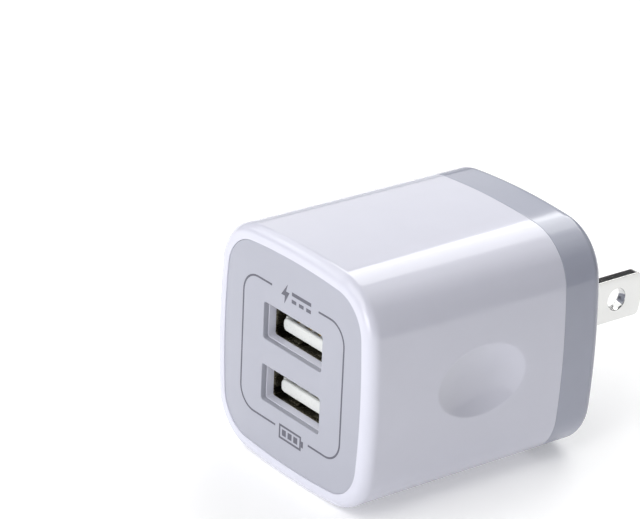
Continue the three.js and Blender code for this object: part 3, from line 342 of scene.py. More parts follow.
def material(
    name,
    color,
    roughness,
    metallic=0.0,
    tint=0.02,
    rough_spread=0.04,
    patch=4 * MM,
    grain=0.35 * MM,
    bump=0.004 * MM,
    stretch=(1, 1, 1),
    specular=0.5,
):
    """A surface whose colour and roughness drift in soft patches, over a fine grain."""
    made = bpy.data.materials.new(name)
    made.use_nodes = True
    tree = made.node_tree
    shader = tree.nodes["Principled BSDF"]
    shader.inputs["Metallic"].default_value = metallic
    shader.inputs["Specular IOR Level"].default_value = specular

    drift = noise(tree, patch, detail=3.0, stretch=stretch)
    mix = tree.nodes.new("ShaderNodeMix")
    mix.data_type = "RGBA"
    mix.inputs["A"].default_value = (*[c * (1 - tint) for c in color], 1)
    mix.inputs["B"].default_value = (*[min(1, c * (1 + tint)) for c in color], 1)
    tree.links.new(spread(tree, drift, 0, 1), mix.inputs["Factor"])
    tree.links.new(mix.outputs["Result"], shader.inputs["Base Color"])

    fine = noise(tree, grain, stretch=stretch)
    low = max(LOWEST_ROUGHNESS, roughness - rough_spread)
    tree.links.new(spread(tree, fine, low, roughness + rough_spread), shader.inputs["Roughness"])
    relief = tree.nodes.new("ShaderNodeBump")
    relief.inputs["Distance"].default_value = bump
    tree.links.new(fine, relief.inputs["Height"])
    tree.links.new(relief.outputs["Normal"], shader.inputs["Normal"])
    return made


MATERIALS = {
    "white_plastic": material(
        "white_plastic", (0.60, 0.605, 0.69), 0.06, tint=0.006, rough_spread=0.015, bump=0.0008 * MM,
    ),
    "grey_plastic": material(
        "grey_plastic", (0.345, 0.36, 0.435), 0.07, tint=0.01, rough_spread=0.015, bump=0.0008 * MM,
    ),
    "panel_plastic": material(
        "panel_plastic", (0.37, 0.378, 0.438), 0.38, tint=0.008, grain=0.12 * MM, bump=0.002 * MM,
    ),
    "print_ink": material("print_ink", (0.10, 0.10, 0.13), 0.5, tint=0.1, grain=0.1 * MM),
    "tongue_plastic": material("tongue_plastic", (0.72, 0.735, 0.72), 0.3, tint=0.02),
    "black_plastic": material("black_plastic", (0.02, 0.02, 0.022), 0.45, grain=0.1 * MM),
    "nickel": material(
        "nickel", (0.69, 0.69, 0.68), 0.08, metallic=1, rough_spread=0.03, grain=0.08 * MM,
        bump=0.0005 * MM, stretch=(1, 0.06, 1),
    ),
    # A dark olive metal. Its dark colour is painted shade, standing in for the dim inside of the ports.
    "steel": material(
        "steel", (0.13, 0.12, 0.085), 0.28, metallic=1, grain=0.3 * MM, bump=0.001 * MM,
        stretch=(1, 0.2, 1),
    ),
    "gold": material("gold", (0.85, 0.62, 0.25), 0.22, metallic=1, grain=0.1 * MM, bump=0.001 * MM),
    "bronze": material("bronze", (0.70, 0.45, 0.26), 0.3, metallic=1, grain=0.1 * MM, bump=0.001 * MM),
    "board_green": material("board_green", (0.03, 0.17, 0.07), 0.35, tint=0.25, patch=1.5 * MM),
    "ferrite": material("ferrite", (0.045, 0.045, 0.05), 0.7, tint=0.2, bump=0.02 * MM),
    "winding_tape": material("winding_tape", (0.75, 0.55, 0.06), 0.35, tint=0.08, stretch=(1, 0.1, 0.1)),
    "copper": material(
        "copper", (0.62, 0.24, 0.11), 0.28, metallic=1, stretch=(0.1, 0.1, 1), bump=0.02 * MM,
    ),
    "blue_sleeve": material("blue_sleeve", (0.03, 0.07, 0.14), 0.25, tint=0.1),
    "green_sleeve": material("green_sleeve", (0.05, 0.18, 0.11), 0.25, tint=0.1),
    "blue_ceramic": material("blue_ceramic", (0.04, 0.18, 0.46), 0.3, tint=0.1, bump=0.01 * MM),
    "resistor_coat": material("resistor_coat", (0.2, 0.38, 0.3), 0.6, tint=0.1, bump=0.01 * MM),
    "film": material("film", (0.80, 0.72, 0.5), 0.3, tint=0.03),
}


def dress_cad_nodes():
    """Gives each CAD sub-part the material of its slot, for those that stay as they are."""
    for entry in frame["record"]["subparts"]:
        node = frame["nodes"][entry["node"]]
        node.data.materials.clear()
        node.data.materials.append(MATERIALS[entry["material_slot"]])


# ---- Mesh helpers -------------------------------------------------------------------------------
# A loop is a function that gives an outline's points for an inset. A level is (depth, inset). A
# place is a function from (u, v, depth) to a point.

SHARP_ANGLE = math.radians(32)
SMALLEST_ROUND = 0.001 * MM
LOWEST_MITRE = 0.4
BOX_STEPS = 3


def along_y(u, v, depth):
    """Outlines in the x-z plane, stacked along y."""
    return Vector((u, depth, v))


def along_x(u, v, depth):
    """Outlines in the y-z plane, stacked along x."""
    return Vector((depth, u, v))


def turned(place, quarters):
    """The same place, turned about the y axis by quarters of a turn."""
    spin = Matrix.Rotation(quarters * math.pi / 2, 3, "Y")
    return lambda u, v, depth: spin @ place(u, v, depth)


def wall(bm, place, loop, levels, closed=False):
    """Joins a stack of loops by walls and returns the first and the last ring."""
    rings = [[bm.verts.new(place(u, v, depth)) for u, v in loop(inset)] for depth, inset in levels]
    following = rings[1:] + rings[:1] if closed else rings[1:]
    for low, high in zip(rings, following):
        for i, vertex in enumerate(low):
            j = (i + 1) % len(low)
            face = bm.faces.new((vertex, low[j], high[j], high[i]))
            face.smooth = True
    return rings[0], rings[-1]


def cap(bm, *rings):
    """Fills the flat face that lies inside the first ring and outside the others."""
    edges = []
    for ring in rings:
        for a, b in zip(ring, ring[1:] + ring[:1]):
            edges.append(bm.edges.get((a, b)) or bm.edges.new((a, b)))
    bmesh.ops.triangle_fill(bm, use_beauty=True, edges=edges)


def edge(depth, radius, towards, steps=4, sign=1):
    """Levels of a rounded edge that starts in the face at depth. The wall runs towards +1 or -1."""
    levels = []
    for i in range(steps + 1):
        angle = math.pi / 2 * i / steps
        along = depth + towards * radius * (1 - math.cos(angle))
        levels.append((along, sign * radius * (1 - math.sin(angle))))
    return levels


def shifted(levels, inset):
    """The same levels, moved inwards."""
    return [(depth, own + inset) for depth, own in levels]


def slab(bm, place, loop, low, high, radius):
    """A plate with rounded edges."""
    levels = edge(low, radius, 1) + edge(high, radius, -1)[::-1]
    first, last = wall(bm, place, loop, levels)
    cap(bm, first)
    cap(bm, last)


def round_box(bm, low, high, radius):
    """A box with all edges rounded, from its lowest and highest corners."""
    half_x = (high[0] - low[0]) / 2
    half_z = (high[2] - low[2]) / 2
    centre = (low[0] + half_x, low[2] + half_z)
    loop = rounded_rectangle(half_x, half_z, radius, centre, steps=BOX_STEPS)
    slab(bm, along_y, loop, low[1], high[1], radius)


def rounded_rectangle(half_u, half_v, radius, centre=(0, 0), steps=5):
    def loop(inset):
        r = max(radius - inset, SMALLEST_ROUND)
        points = []
        for turn in range(4):
            corner_u = (half_u - inset - r) * (1, -1, -1, 1)[turn]
            corner_v = (half_v - inset - r) * (1, 1, -1, -1)[turn]
            for i in range(steps + 1):
                angle = math.pi / 2 * (turn + i / steps)
                u = centre[0] + corner_u + r * math.cos(angle)
                points.append((u, centre[1] + corner_v + r * math.sin(angle)))
        return points

    return loop


def circle(radius, centre, steps=48):
    def loop(inset):
        angles = [2 * math.pi * i / steps for i in range(steps)]
        r = radius - inset
        return [(centre[0] + r * math.cos(a), centre[1] + r * math.sin(a)) for a in angles]

    return loop


def mitre(before, here, after):
    """How a corner moves when both of its lines move one unit to their left."""
    entering = (here - before).normalized()
    leaving = (after - here).normalized()
    mean = (entering + leaving).normalized()
    return Vector((-mean.y, mean.x)) / max(LOWEST_MITRE, mean.dot(leaving))


def polygon(points):
    """A loop through given points, anticlockwise, moved inwards along its mitres."""
    corners = [Vector(p) for p in points]

    def loop(inset):
        following = corners[1:] + corners[:1]
        return [
            tuple(here + mitre(corners[i - 1], here, after) * inset)
            for i, (here, after) in enumerate(zip(corners, following))
        ]

    return loop


def ribbon(points, width):
    """The outline of a line of the given width through (u, v) points."""
    line = [Vector(p) for p in points]
    ahead = line[1:] + [2 * line[-1] - line[-2]]
    behind = [2 * line[0] - line[1]] + line[:-1]
    shifts = [mitre(*three) * width / 2 for three in zip(behind, line, ahead)]
    right = [p - shift for p, shift in zip(line, shifts)]
    left = [p + shift for p, shift in zip(line, shifts)]
    return right + left[::-1]


def body_section(x_side_steps, z_side_steps, corner_steps):
    """The body's outline: four bowed sides joined by round corners."""
    side_r = (HALF**2 + SIDE_BOW**2) / (2 * SIDE_BOW)
    side_centre = HALF - side_r
    reach = side_r - CORNER_R
    corner_centre = (side_centre + math.sqrt(2 * reach**2 - side_centre**2)) / 2
    start = math.atan2(corner_centre, corner_centre - side_centre)
    stations = []
    for turn in range(4):
        quarter = turn * math.pi / 2
        side_steps = z_side_steps if turn % 2 else x_side_steps
        spin = Matrix.Rotation(quarter, 2)
        side = spin @ Vector((side_centre, 0))
        corner = spin @ Vector((corner_centre, corner_centre))
        for i in range(side_steps):
            stations.append((side, side_r, quarter + start * (2 * i / side_steps - 1)))
        for i in range(corner_steps):
            angle = start + (math.pi / 2 - 2 * start) * i / corner_steps
            stations.append((corner, CORNER_R, quarter + angle))

    def loop(inset):
        return [
            (centre.x + (r - inset) * math.cos(a), centre.y + (r - inset) * math.sin(a))
            for centre, r, a in stations
        ]

    return loop


def plain_section():
    """The body's outline with even steps, for pieces without a grip."""
    return body_section(SECTION_STEPS, SECTION_STEPS, SECTION_STEPS)


def finish(bm, name, slot, replaced=(), body="charger"):
    """Turns the mesh into a piece of the object that takes the place of CAD nodes and rides a body."""
    bmesh.ops.recalc_face_normals(bm, faces=bm.faces)
    mesh = bpy.data.meshes.new(name)
    bm.to_mesh(mesh)
    bm.free()
    mesh.materials.append(MATERIALS[slot])
    mesh.set_sharp_from_angle(angle=SHARP_ANGLE)
    piece = bpy.data.objects.new(name, mesh)
    bpy.context.scene.collection.objects.link(piece)
    if replaced:
        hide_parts(*replaced)
    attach(piece, body)
    return piece


# ---- Housing, front panel and rear cover --------------------------------------------------------


def pressed_along_y(u, v, depth):
    """A point of the housing, pushed in where a finger grip hollows the left or right side."""
    if abs(u) < HALF - WALL / 2:
        return Vector((u, depth, v))
    rise = 1 - ((depth - GRIP_Y) / GRIP_HALF_Y) ** 2 - (v / GRIP_HALF_Z) ** 2
    press = GRIP_DEPTH * (rise + math.hypot(rise, GRIP_EDGE)) / 2
    return Vector((u - math.copysign(press, u), depth, v))


def rows(start, end, step):
    """Evenly spaced depths at inset 0."""
    count = round((end - start) / step)
    return [(start + (end - start) * i / count, 0) for i in range(count + 1)]


def build_housing():
    """The white shell, a closed wall from its front rim around its lip and back inside, and its rails."""
    ledge_y = FRONT_Y + REBATE_DEPTH
    ledge_back_y = ledge_y + LEDGE_THICKNESS
    window_inset = PANEL_INSET + LEDGE_WIDTH
    seam_end = SEAM_Y - SEAM_GAP
    levels = edge(FRONT_Y, FRONT_FILLET, 1, steps=FILLET_STEPS)
    levels += [(FRONT_Y + FRONT_FILLET + SUPPORT, 0)]
    levels += rows(GRIP_Y - GRIP_REACH, GRIP_Y + GRIP_REACH, GRIP_ROW)
    levels += [(seam_end - SEAM_ROUND - SUPPORT, 0)]
    levels += edge(seam_end, SEAM_ROUND, -1)[::-1]
    levels += [(seam_end, LIP_INSET), (LIP_END_Y, LIP_INSET), (LIP_END_Y, WALL)]
    levels += [(ledge_back_y, WALL), (ledge_back_y, window_inset)]
    levels += [(ledge_y, window_inset), (ledge_y, PANEL_INSET)]
    levels += shifted(edge(FRONT_Y, RIM_ROUND, 1, sign=-1)[::-1], PANEL_INSET)
    bm = bmesh.new()
    section = body_section(GRIP_SIDE_STEPS, SECTION_STEPS, SECTION_STEPS)
    wall(bm, pressed_along_y, section, levels, closed=True)
    reach = HALF - WALL - RAIL_REACH
    for side in (-1, 1):
        for low, high in RAIL_Z:
            ends = sorted((side * reach, side * (HALF - WALL + RAIL_ROOT)))
            low_corner = (ends[0], FRONT_Y + RAIL_SETBACK, low)
            round_box(bm, low_corner, (ends[1], SEAM_Y + RAIL_LAP, high), RAIL_ROUND)
    return finish(bm, "housing_shell", "white_plastic", ["main_housing"])


def port_mouth(widen, z):
    """A port's opening, widened on all sides."""
    size = (PORT_HALF_X + widen, PORT_HALF_Z + widen)
    return rounded_rectangle(*size, PORT_CORNER + widen, centre=(0, z))


def corner_spots():
    """Where the panel's four pegs stand."""
    return [(x, z) for x in (-PEG_SPOT, PEG_SPOT) for z in (-PEG_SPOT, PEG_SPOT)]


def build_panel():
    """The grey front panel with its two openings and four pegs."""
    back_y = PANEL_Y + PANEL_THICKNESS
    peg_end = back_y + FRAME_THICKNESS
    bm = bmesh.new()
    levels = shifted(edge(PANEL_Y, PANEL_ROUND, 1) + [(back_y, 0)], PANEL_INSET + PANEL_GAP)
    front, back = wall(bm, along_y, plain_section(), levels)
    mouths = []
    holes = []
    for z in PORT_Z.values():
        levels = edge(PANEL_Y, MOUTH_ROUND, 1, sign=-1) + [(back_y, 0)]
        opening = wall(bm, along_y, port_mouth(MOUTH_STEP, z), levels)
        mouths.append(opening[0])
        holes.append(opening[1])
    for spot in corner_spots():
        levels = [(back_y, 0)] + edge(peg_end, PEG_ROUND, -1)[::-1]
        root, tip = wall(bm, along_y, circle(PEG_R, spot, steps=ROUND_STEPS), levels)
        cap(bm, tip)
        holes.append(root)
    cap(bm, front, *mouths)
    cap(bm, back, *holes)
    return finish(bm, "port_panel", "panel_plastic", ["front_panel"])


def build_port_frame():
    """The white frame behind the panel, with a collar for each port and four snap hooks."""
    front_y = PANEL_Y + PANEL_THICKNESS + FRAME_GAP
    back_y = front_y + FRAME_THICKNESS
    collar_end = SHELL_LOW.y - FRAME_GAP
    bm = bmesh.new()
    levels = shifted([(front_y, 0), (back_y, 0)], PANEL_INSET + FIT_GAP)
    front, back = wall(bm, along_y, plain_section(), levels)
    front_holes = []
    back_holes = []
    for z in PORT_Z.values():
        levels = edge(front_y, MOUTH_ROUND, 1, sign=-1) + [(collar_end, 0)]
        opening = wall(bm, along_y, port_mouth(0, z), levels)
        levels = [(back_y, 0)] + edge(collar_end, COLLAR_ROUND, -1)[::-1]
        collar = wall(bm, along_y, port_mouth(COLLAR_WALL, z), levels)
        front_holes.append(opening[0])
        back_holes.append(collar[0])
        cap(bm, collar[1], opening[1])
    for spot in corner_spots():
        hole = circle(PEG_R + FIT_GAP, spot, steps=ROUND_STEPS)
        ends = wall(bm, along_y, hole, [(front_y, 0), (back_y, 0)])
        front_holes.append(ends[0])
        back_holes.append(ends[1])
    cap(bm, front, *front_holes)
    cap(bm, back, *back_holes)
    outer = HALF - PANEL_INSET - LEDGE_WIDTH - FIT_GAP
    catch_y = FRONT_Y + REBATE_DEPTH + LEDGE_THICKNESS + FIT_GAP
    hook = [
        (back_y, outer - HOOK_THICKNESS),
        (catch_y + HOOK_HEAD, outer - HOOK_THICKNESS),
        (catch_y + HOOK_HEAD, outer - HOOK_THICKNESS / 2),
        (catch_y + HOOK_LIP, outer + HOOK_LIP),
        (catch_y, outer + HOOK_LIP),
        (catch_y, outer),
        (back_y, outer),
    ]
    for quarters in range(4):
        place = turned(along_x, quarters)
        slab(bm, place, polygon(hook), -HOOK_WIDTH / 2, HOOK_WIDTH / 2, HOOK_ROUND)
    return finish(bm, "port_surround", "white_plastic", ["port_frame"])


def build_cover():
    """The grey rear cover with its blade slots, their bosses and two posts."""
    boss_end = -COVER_PLATE - BOSS_DEPTH
    lap_y = SEAM_Y + LAP_LENGTH
    levels = [(-COVER_PLATE, WALL), (lap_y, WALL), (lap_y, LAP_INSET), (SEAM_Y, LAP_INSET)]
    levels += edge(SEAM_Y, SEAM_ROUND, 1)
    levels += [(SEAM_Y + SEAM_ROUND + SUPPORT, 0), (-REAR_FILLET - SUPPORT, 0)]
    levels += edge(0, REAR_FILLET, -1, steps=FILLET_STEPS)[::-1]
    bm = bmesh.new()
    inner, outer = wall(bm, along_y, plain_section(), levels)
    slots = []
    roots = []
    for x in (-BLADE_PITCH_HALF, BLADE_PITCH_HALF):
        slot_half = (BLADE_THICKNESS / 2 + SLOT_GAP, BLADE_HALF_WIDTH + SLOT_GAP)
        slot = rounded_rectangle(*slot_half, SLOT_CORNER, centre=(x, 0))
        hole = wall(bm, along_y, slot, edge(0, SLOT_ROUND, -1, sign=-1) + [(boss_end, 0)])
        boss = wall(bm, along_y, slot, [(-COVER_PLATE, -BOSS_WALL), (boss_end, -BOSS_WALL)])
        slots.append(hole[0])
        roots.append(boss[0])
        cap(bm, boss[1], hole[1])
    for z in (-POST_Z, POST_Z):
        post = circle(POST_R, (0, z), steps=ROUND_STEPS)
        tip = edge(SEAM_Y, POST_ROUND, 1)
        end, root = wall(bm, along_y, post, tip + [(-COVER_PLATE, 0)])
        cap(bm, end)
        roots.append(root)
    cap(bm, outer, *slots)
    cap(bm, inner, *roots)
    return finish(bm, "rear_cap", "grey_plastic", ["rear_cover"])


# ---- Blades -------------------------------------------------------------------------------------


def blade_outline():
    """The blade's (y, z) outline: a narrow tail, shoulders, and a crowned tip with round corners."""
    half = BLADE_HALF_WIDTH
    neck = BLADE_NECK_HALF
    tip_y = BLADE_HIGH.y
    crown_r = (BLADE_TIP_CROWN**2 + half**2) / (2 * BLADE_TIP_CROWN)
    corner_r = BLADE_TIP_CORNER
    corner_z = half - corner_r
    corner_y = tip_y - crown_r + math.sqrt((crown_r - corner_r) ** 2 - corner_z**2)
    tilt = math.asin(corner_z / (crown_r - corner_r))
    upper = [(BLADE_TAIL_Y, neck), (BLADE_SHOULDER_Y, neck), (BLADE_SHOULDER_Y, half)]
    upper += [(corner_y - SUPPORT, half)]
    for i in range(TIP_CORNER_STEPS + 1):
        angle = math.pi / 2 - (math.pi / 2 - tilt) * i / TIP_CORNER_STEPS
        upper.append((corner_y + corner_r * math.cos(angle), corner_z + corner_r * math.sin(angle)))
    for i in range(1, TIP_CROWN_STEPS):
        angle = tilt * (1 - i / TIP_CROWN_STEPS)
        upper.append((tip_y - crown_r + crown_r * math.cos(angle), crown_r * math.sin(angle)))
    lower = [(y, -z) for y, z in upper]
    return lower + [(tip_y, 0)] + upper[::-1]


def build_blade(name, x):
    """A flat blade with bevelled edges and a hole near its tip."""
    low = x - BLADE_THICKNESS / 2
    high = x + BLADE_THICKNESS / 2
    bm = bmesh.new()
    levels = edge(low, BLADE_BEVEL, 1, steps=BEVEL_STEPS)
    levels += [(low + BLADE_BEVEL + BLADE_SUPPORT, 0), (high - BLADE_BEVEL - BLADE_SUPPORT, 0)]
    levels += edge(high, BLADE_BEVEL, -1, steps=BEVEL_STEPS)[::-1]
    sides = wall(bm, along_x, polygon(blade_outline()), levels)
    levels = edge(low, HOLE_BEVEL, 1, sign=-1) + edge(high, HOLE_BEVEL, -1, sign=-1)[::-1]
    rims = wall(bm, along_x, circle(BLADE_HOLE_R, (BLADE_HOLE_Y, 0)), levels)
    for side, rim in zip(sides, rims):
        cap(bm, side, rim)
    return finish(bm, f"{name}_polished", "nickel", [name])


# ---- USB receptacle -----------------------------------------------------------------------------


def tongue_under(port_z):
    """The height of a tongue's underside."""
    return port_z - PORT_HALF_Z + TONGUE_LIFT


def smooth_path(points, steps=6):
    """A Catmull-Rom line through (y, z) points."""
    line = [Vector(p) for p in points]
    line = [2 * line[0] - line[1]] + line + [2 * line[-1] - line[-2]]
    path = []
    for a, b, c, d in zip(line, line[1:], line[2:], line[3:]):
        for i in range(steps):
            t = i / steps
            slope = (c - a) * t + (2 * a - 5 * b + 4 * c - d) * t**2 + (3 * b - a - 3 * c + d) * t**3
            path.append(b + slope / 2)
    return path + [line[-2]]


def along_path(path, x):
    """A place whose depth is the number of a station on a (y, z) path."""

    def place(u, v, station):
        here = path[station]
        tangent = path[min(station + 1, len(path) - 1)] - path[max(station - 1, 0)]
        tangent.normalize()
        return Vector((x + u, here.x - v * tangent.y, here.y + v * tangent.x))

    return place


def leaf(bm, path, x, half_width, half_thickness):
    """A thin sprung strip that follows a path, with round edges and a thinner tip."""
    loop = rounded_rectangle(half_width, half_thickness, half_thickness * LEAF_ROUND, steps=BOX_STEPS)
    levels = [(0, half_thickness * LEAF_TAPER)] + [(i, 0) for i in range(1, len(path))]
    ends = wall(bm, along_path(path, x), loop, levels)
    for ring in ends:
        cap(bm, ring)


def build_contact(level, number):
    """One sprung contact arm, which rides its row's body."""
    node = f"contact_arm_{level}_{number}"
    low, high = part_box(node)
    top = tongue_under(PORT_Z[level]) + TONGUE_THICKNESS
    tip_y = low.y + CONTACT_SETBACK
    run_z = top - CONTACT_SINK
    line = [(tip_y + ahead * MM, top + rise * MM) for ahead, rise in CONTACT_LINE]
    path = smooth_path(line + [(tip_y + CONTACT_RUN_START, run_z), (high.y, run_z)])
    bm = bmesh.new()
    leaf(bm, path, (low.x + high.x) / 2, CONTACT_HALF_WIDTH, CONTACT_THICKNESS / 2)
    return finish(bm, f"sprung_contact_{level}_{number}", "gold", [node], f"{level}_contacts")


def build_shell():
    """The metal shell of both ports, with its rear hood, its legs, and two springs in each port."""
    centre = (0, (SHELL_LOW_Z + SHELL_HIGH.z) / 2)
    half_z = (SHELL_HIGH.z - SHELL_LOW_Z) / 2
    front = SHELL_LOW.y
    outline = rounded_rectangle(SHELL_HIGH.x, half_z, SHELL_CORNER, centre=centre)
    bm = bmesh.new()
    levels = edge(front, SHELL_ROUND, 1) + [(EXIT_Y, 0), (EXIT_Y, SHELL_SHEET)]
    outside, inside = wall(bm, along_y, outline, levels + [(front + SHELL_WALL, SHELL_SHEET)])
    mouths = [[], []]
    for z in PORT_Z.values():
        mouth = rounded_rectangle(PORT_HALF_X, PORT_HALF_Z, PORT_CORNER, centre=(0, z))
        levels = edge(front, SHELL_MOUTH_ROUND, 1, sign=-1) + [(front + SHELL_WALL, 0)]
        rims = wall(bm, along_y, mouth, levels)
        mouths[0].append(rims[0])
        mouths[1].append(rims[1])
    cap(bm, outside, *mouths[0])
    cap(bm, inside, *mouths[1])
    x = SHELL_HIGH.x
    hood_low = SHELL_LOW_Z + HOOD_LIFT
    hood = [
        (-x, hood_low),
        (-x + SHELL_SHEET, hood_low),
        (-x + SHELL_SHEET, SHELL_HIGH.z - SHELL_SHEET),
        (x - SHELL_SHEET, SHELL_HIGH.z - SHELL_SHEET),
        (x - SHELL_SHEET, hood_low),
        (x, hood_low),
        (x, SHELL_HIGH.z),
        (-x, SHELL_HIGH.z),
    ]
    slab(bm, along_y, polygon(hood), EXIT_Y, SHELL_HIGH.y, HOOD_ROUND)
    for y in SHELL_LEG_Y:
        for side in (-1, 1):
            ends = sorted((side * x, side * (x - SHELL_SHEET)))
            low_corner = (ends[0], y - SHELL_LEG_HALF, SHELL_LOW.z)
            high_corner = (ends[1], y + SHELL_LEG_HALF, SHELL_LOW_Z + SHELL_LEG_LAP)
            round_box(bm, low_corner, high_corner, SHELL_LEG_ROUND)
    for z in PORT_Z.values():
        floor_z = z - PORT_HALF_Z
        low_corner = (-PORT_HALF_X, front + SHELL_WALL, floor_z - LINER_SINK[0])
        high_corner = (PORT_HALF_X, INSULATOR_BLOCK_Y, floor_z - LINER_SINK[1])
        round_box(bm, low_corner, high_corner, LINER_ROUND)
        path = smooth_path([(front + ahead * MM, floor_z + rise * MM) for ahead, rise in SPRING_LINE])
        for spring_x in SPRING_X:
            leaf(bm, path, spring_x, SPRING_HALF_WIDTH, SPRING_HALF_THICKNESS)
    # The steel's dark colour is painted shade for the dim inside of the ports, on the shell, its liners
    # and its springs.
    return finish(bm, "receptacle_shell", "steel", ["usb_shell"])


def grooved_outline(under):
    """The tongue's (x, z) section behind its tip, with a groove over each contact."""
    top = under + TONGUE_THICKNESS
    outline = [(-TONGUE_HALF_X, under), (TONGUE_HALF_X, under), (TONGUE_HALF_X, top)]
    for x in reversed(CONTACT_X):
        left = x - GROOVE_HALF
        right = x + GROOVE_HALF
        outline += [(right, top), (right, top - GROOVE_DEPTH)]
        outline += [(left, top - GROOVE_DEPTH), (left, top)]
    return outline + [(-TONGUE_HALF_X, top)]


def build_insulator():
    """The white insulator: two grooved tongues, the web between the ports and the block behind them."""
    bm = bmesh.new()
    tip_y = SHELL_LOW.y + TONGUE_SETBACK
    for z in PORT_Z.values():
        under = tongue_under(z)
        centre = (0, under + TONGUE_THICKNESS / 2)
        nose = rounded_rectangle(TONGUE_HALF_X, TONGUE_THICKNESS / 2, NOSE_ROUND, centre=centre)
        slab(bm, along_y, nose, tip_y, tip_y + NOSE_LENGTH, NOSE_EDGE)
        bar = polygon(grooved_outline(under))
        slab(bm, along_y, bar, tip_y + BAR_SETBACK, INSULATOR_BLOCK_Y + INSULATOR_LAP, BAR_ROUND)
    half = INSULATOR_HIGH.x
    web_low = (-half, INSULATOR_LOW.y, PORT_Z["lower"] + PORT_HALF_Z + WEB_GAP)
    web_high = (half, INSULATOR_BLOCK_Y + WEB_LAP, PORT_Z["upper"] - PORT_HALF_Z - WEB_GAP)
    round_box(bm, web_low, web_high, WEB_ROUND)
    block_low = (-half, INSULATOR_BLOCK_Y, INSULATOR_LOW.z)
    round_box(bm, block_low, tuple(INSULATOR_HIGH), INSULATOR_ROUND)
    return finish(bm, "contact_carrier", "tongue_plastic", ["usb_insulator"])


# ---- Print --------------------------------------------------------------------------------------


def ink(bm, outline, face_y, outward):
    """A printed shape that stands a hair proud of a flat face."""
    levels = [(face_y + outward * INK_LIFT, 0), (face_y - outward * INK_DEPTH, 0)]
    for ring in wall(bm, along_y, polygon(outline), levels):
        cap(bm, ring)


def ink_frame(bm, outline, width, face_y, outward):
    """The outline of a shape, printed as a closed line."""
    top = face_y + outward * INK_LIFT
    bottom = face_y - outward * INK_DEPTH
    levels = [(top, 0), (top, width), (bottom, width), (bottom, 0)]
    wall(bm, along_y, polygon(outline), levels, closed=True)


def rectangle(centre_u, centre_v, width, height):
    """A rectangle's corners, anticlockwise."""
    left = centre_u - width / 2
    low = centre_v - height / 2
    return [(left, low), (left + width, low), (left + width, low + height), (left, low + height)]


def bolt_mark(centre_u, centre_v, height):
    """A lightning bolt."""
    return [(centre_u + u * height, centre_v + v * height) for u, v in BOLT_SHAPE]


def direct_current_mark(centre_u, centre_v, width, height):
    """A full bar over three dashes."""
    line = height * CURRENT_LINE
    bars = [rectangle(centre_u, centre_v + height * CURRENT_BAR_RISE, width, line)]
    dash = width * CURRENT_DASH
    for step in (-1, 0, 1):
        place_u = centre_u + step * (width - dash) / 2
        bars.append(rectangle(place_u, centre_v - height * CURRENT_DASH_DROP, dash, line))
    return bars


def build_panel_print():
    """A ring in two halves, with a bolt and a current sign in its top gap and a battery in the other."""
    bm = bmesh.new()
    corner_u = RING_HALF_X - RING_CORNER
    corner_v = RING_HALF_Z - RING_CORNER
    for side in (-1, 1):
        line = [(RING_TOP_GAP[side], RING_HALF_Z)]
        for turn in (1, -1):
            for i in range(RING_STEPS + 1):
                part = i / RING_STEPS
                angle = math.pi / 2 * (part if turn > 0 else 1 - part)
                u = corner_u + RING_CORNER * math.sin(angle)
                v = corner_v + RING_CORNER * math.cos(angle)
                line.append((side * u, turn * v))
        line.append((RING_BOTTOM_GAP[side], -RING_HALF_Z))
        if side > 0:
            line.reverse()
        ink(bm, ribbon(line, RING_LINE), PANEL_Y, -1)
    ink(bm, bolt_mark(PANEL_BOLT_X, TOP_MARK_Z, PANEL_BOLT_HEIGHT), PANEL_Y, -1)
    for bar in direct_current_mark(PANEL_CURRENT_X, TOP_MARK_Z, *PANEL_CURRENT_SIZE):
        ink(bm, bar, PANEL_Y, -1)
    case = rectangle(BATTERY_X, BOTTOM_MARK_Z, *BATTERY_SIZE)
    ink_frame(bm, case, BATTERY_LINE, PANEL_Y, -1)
    ink(bm, rectangle(BATTERY_CAP_X, BOTTOM_MARK_Z, *BATTERY_CAP_SIZE), PANEL_Y, -1)
    for cell_x in BATTERY_CELL_X:
        ink(bm, rectangle(cell_x, BOTTOM_MARK_Z, *BATTERY_CELL_SIZE), PANEL_Y, -1)
    return finish(bm, "panel_print", "print_ink")


def build_rear_print():
    """Rows of bars, then a line of marks: nested squares, a house, a bolt, a current sign and a ring."""
    bm = bmesh.new()
    for row_z, words in REAR_ROWS.items():
        at = REAR_ROW_START
        for word in words:
            ink(bm, rectangle(at - word * MM / 2, row_z * MM, word * MM, WORD_HEIGHT), 0, 1)
            at -= (word + WORD_GAP) * MM
    z = REAR_MARK_Z
    for side, line in SQUARE_SIDES.items():
        ink_frame(bm, rectangle(SQUARE_X, z, side, side), line, 0, 1)
    house = [(HOUSE_X + u * MM, z + v * MM) for u, v in HOUSE_SHAPE]
    ink_frame(bm, house, REAR_MARK_LINE, 0, 1)
    ink(bm, bolt_mark(0, z, REAR_BOLT_HEIGHT), 0, 1)
    for bar in direct_current_mark(REAR_CURRENT_X, z, *REAR_CURRENT_SIZE):
        ink(bm, bar, 0, 1)
    ring = circle(RING_MARK_R, (RING_MARK_X, z), steps=RING_MARK_STEPS)(0)
    ink_frame(bm, ring, REAR_MARK_LINE, 0, 1)
    dot = circle(DOT_R, (RING_MARK_X, z), steps=DOT_STEPS)(0)
    ink(bm, dot, 0, 1)
    ink(bm, rectangle(0, UNDERLINE_Z, *UNDERLINE_SIZE), 0, 1)
    return finish(bm, "rear_print", "print_ink")


# ---- The object ---------------------------------------------------------------------------------

dress_cad_nodes()
build_housing()
build_panel()
build_port_frame()
build_cover()
build_blade("blade_left", -BLADE_PITCH_HALF)
build_blade("blade_right", BLADE_PITCH_HALF)
build_shell()
build_insulator()
for level in PORT_Z:
    for number in range(1, len(CONTACT_X) + 1):
        build_contact(level, number)
build_panel_print()
build_rear_print()

# ---- Studio -------------------------------------------------------------------------------------


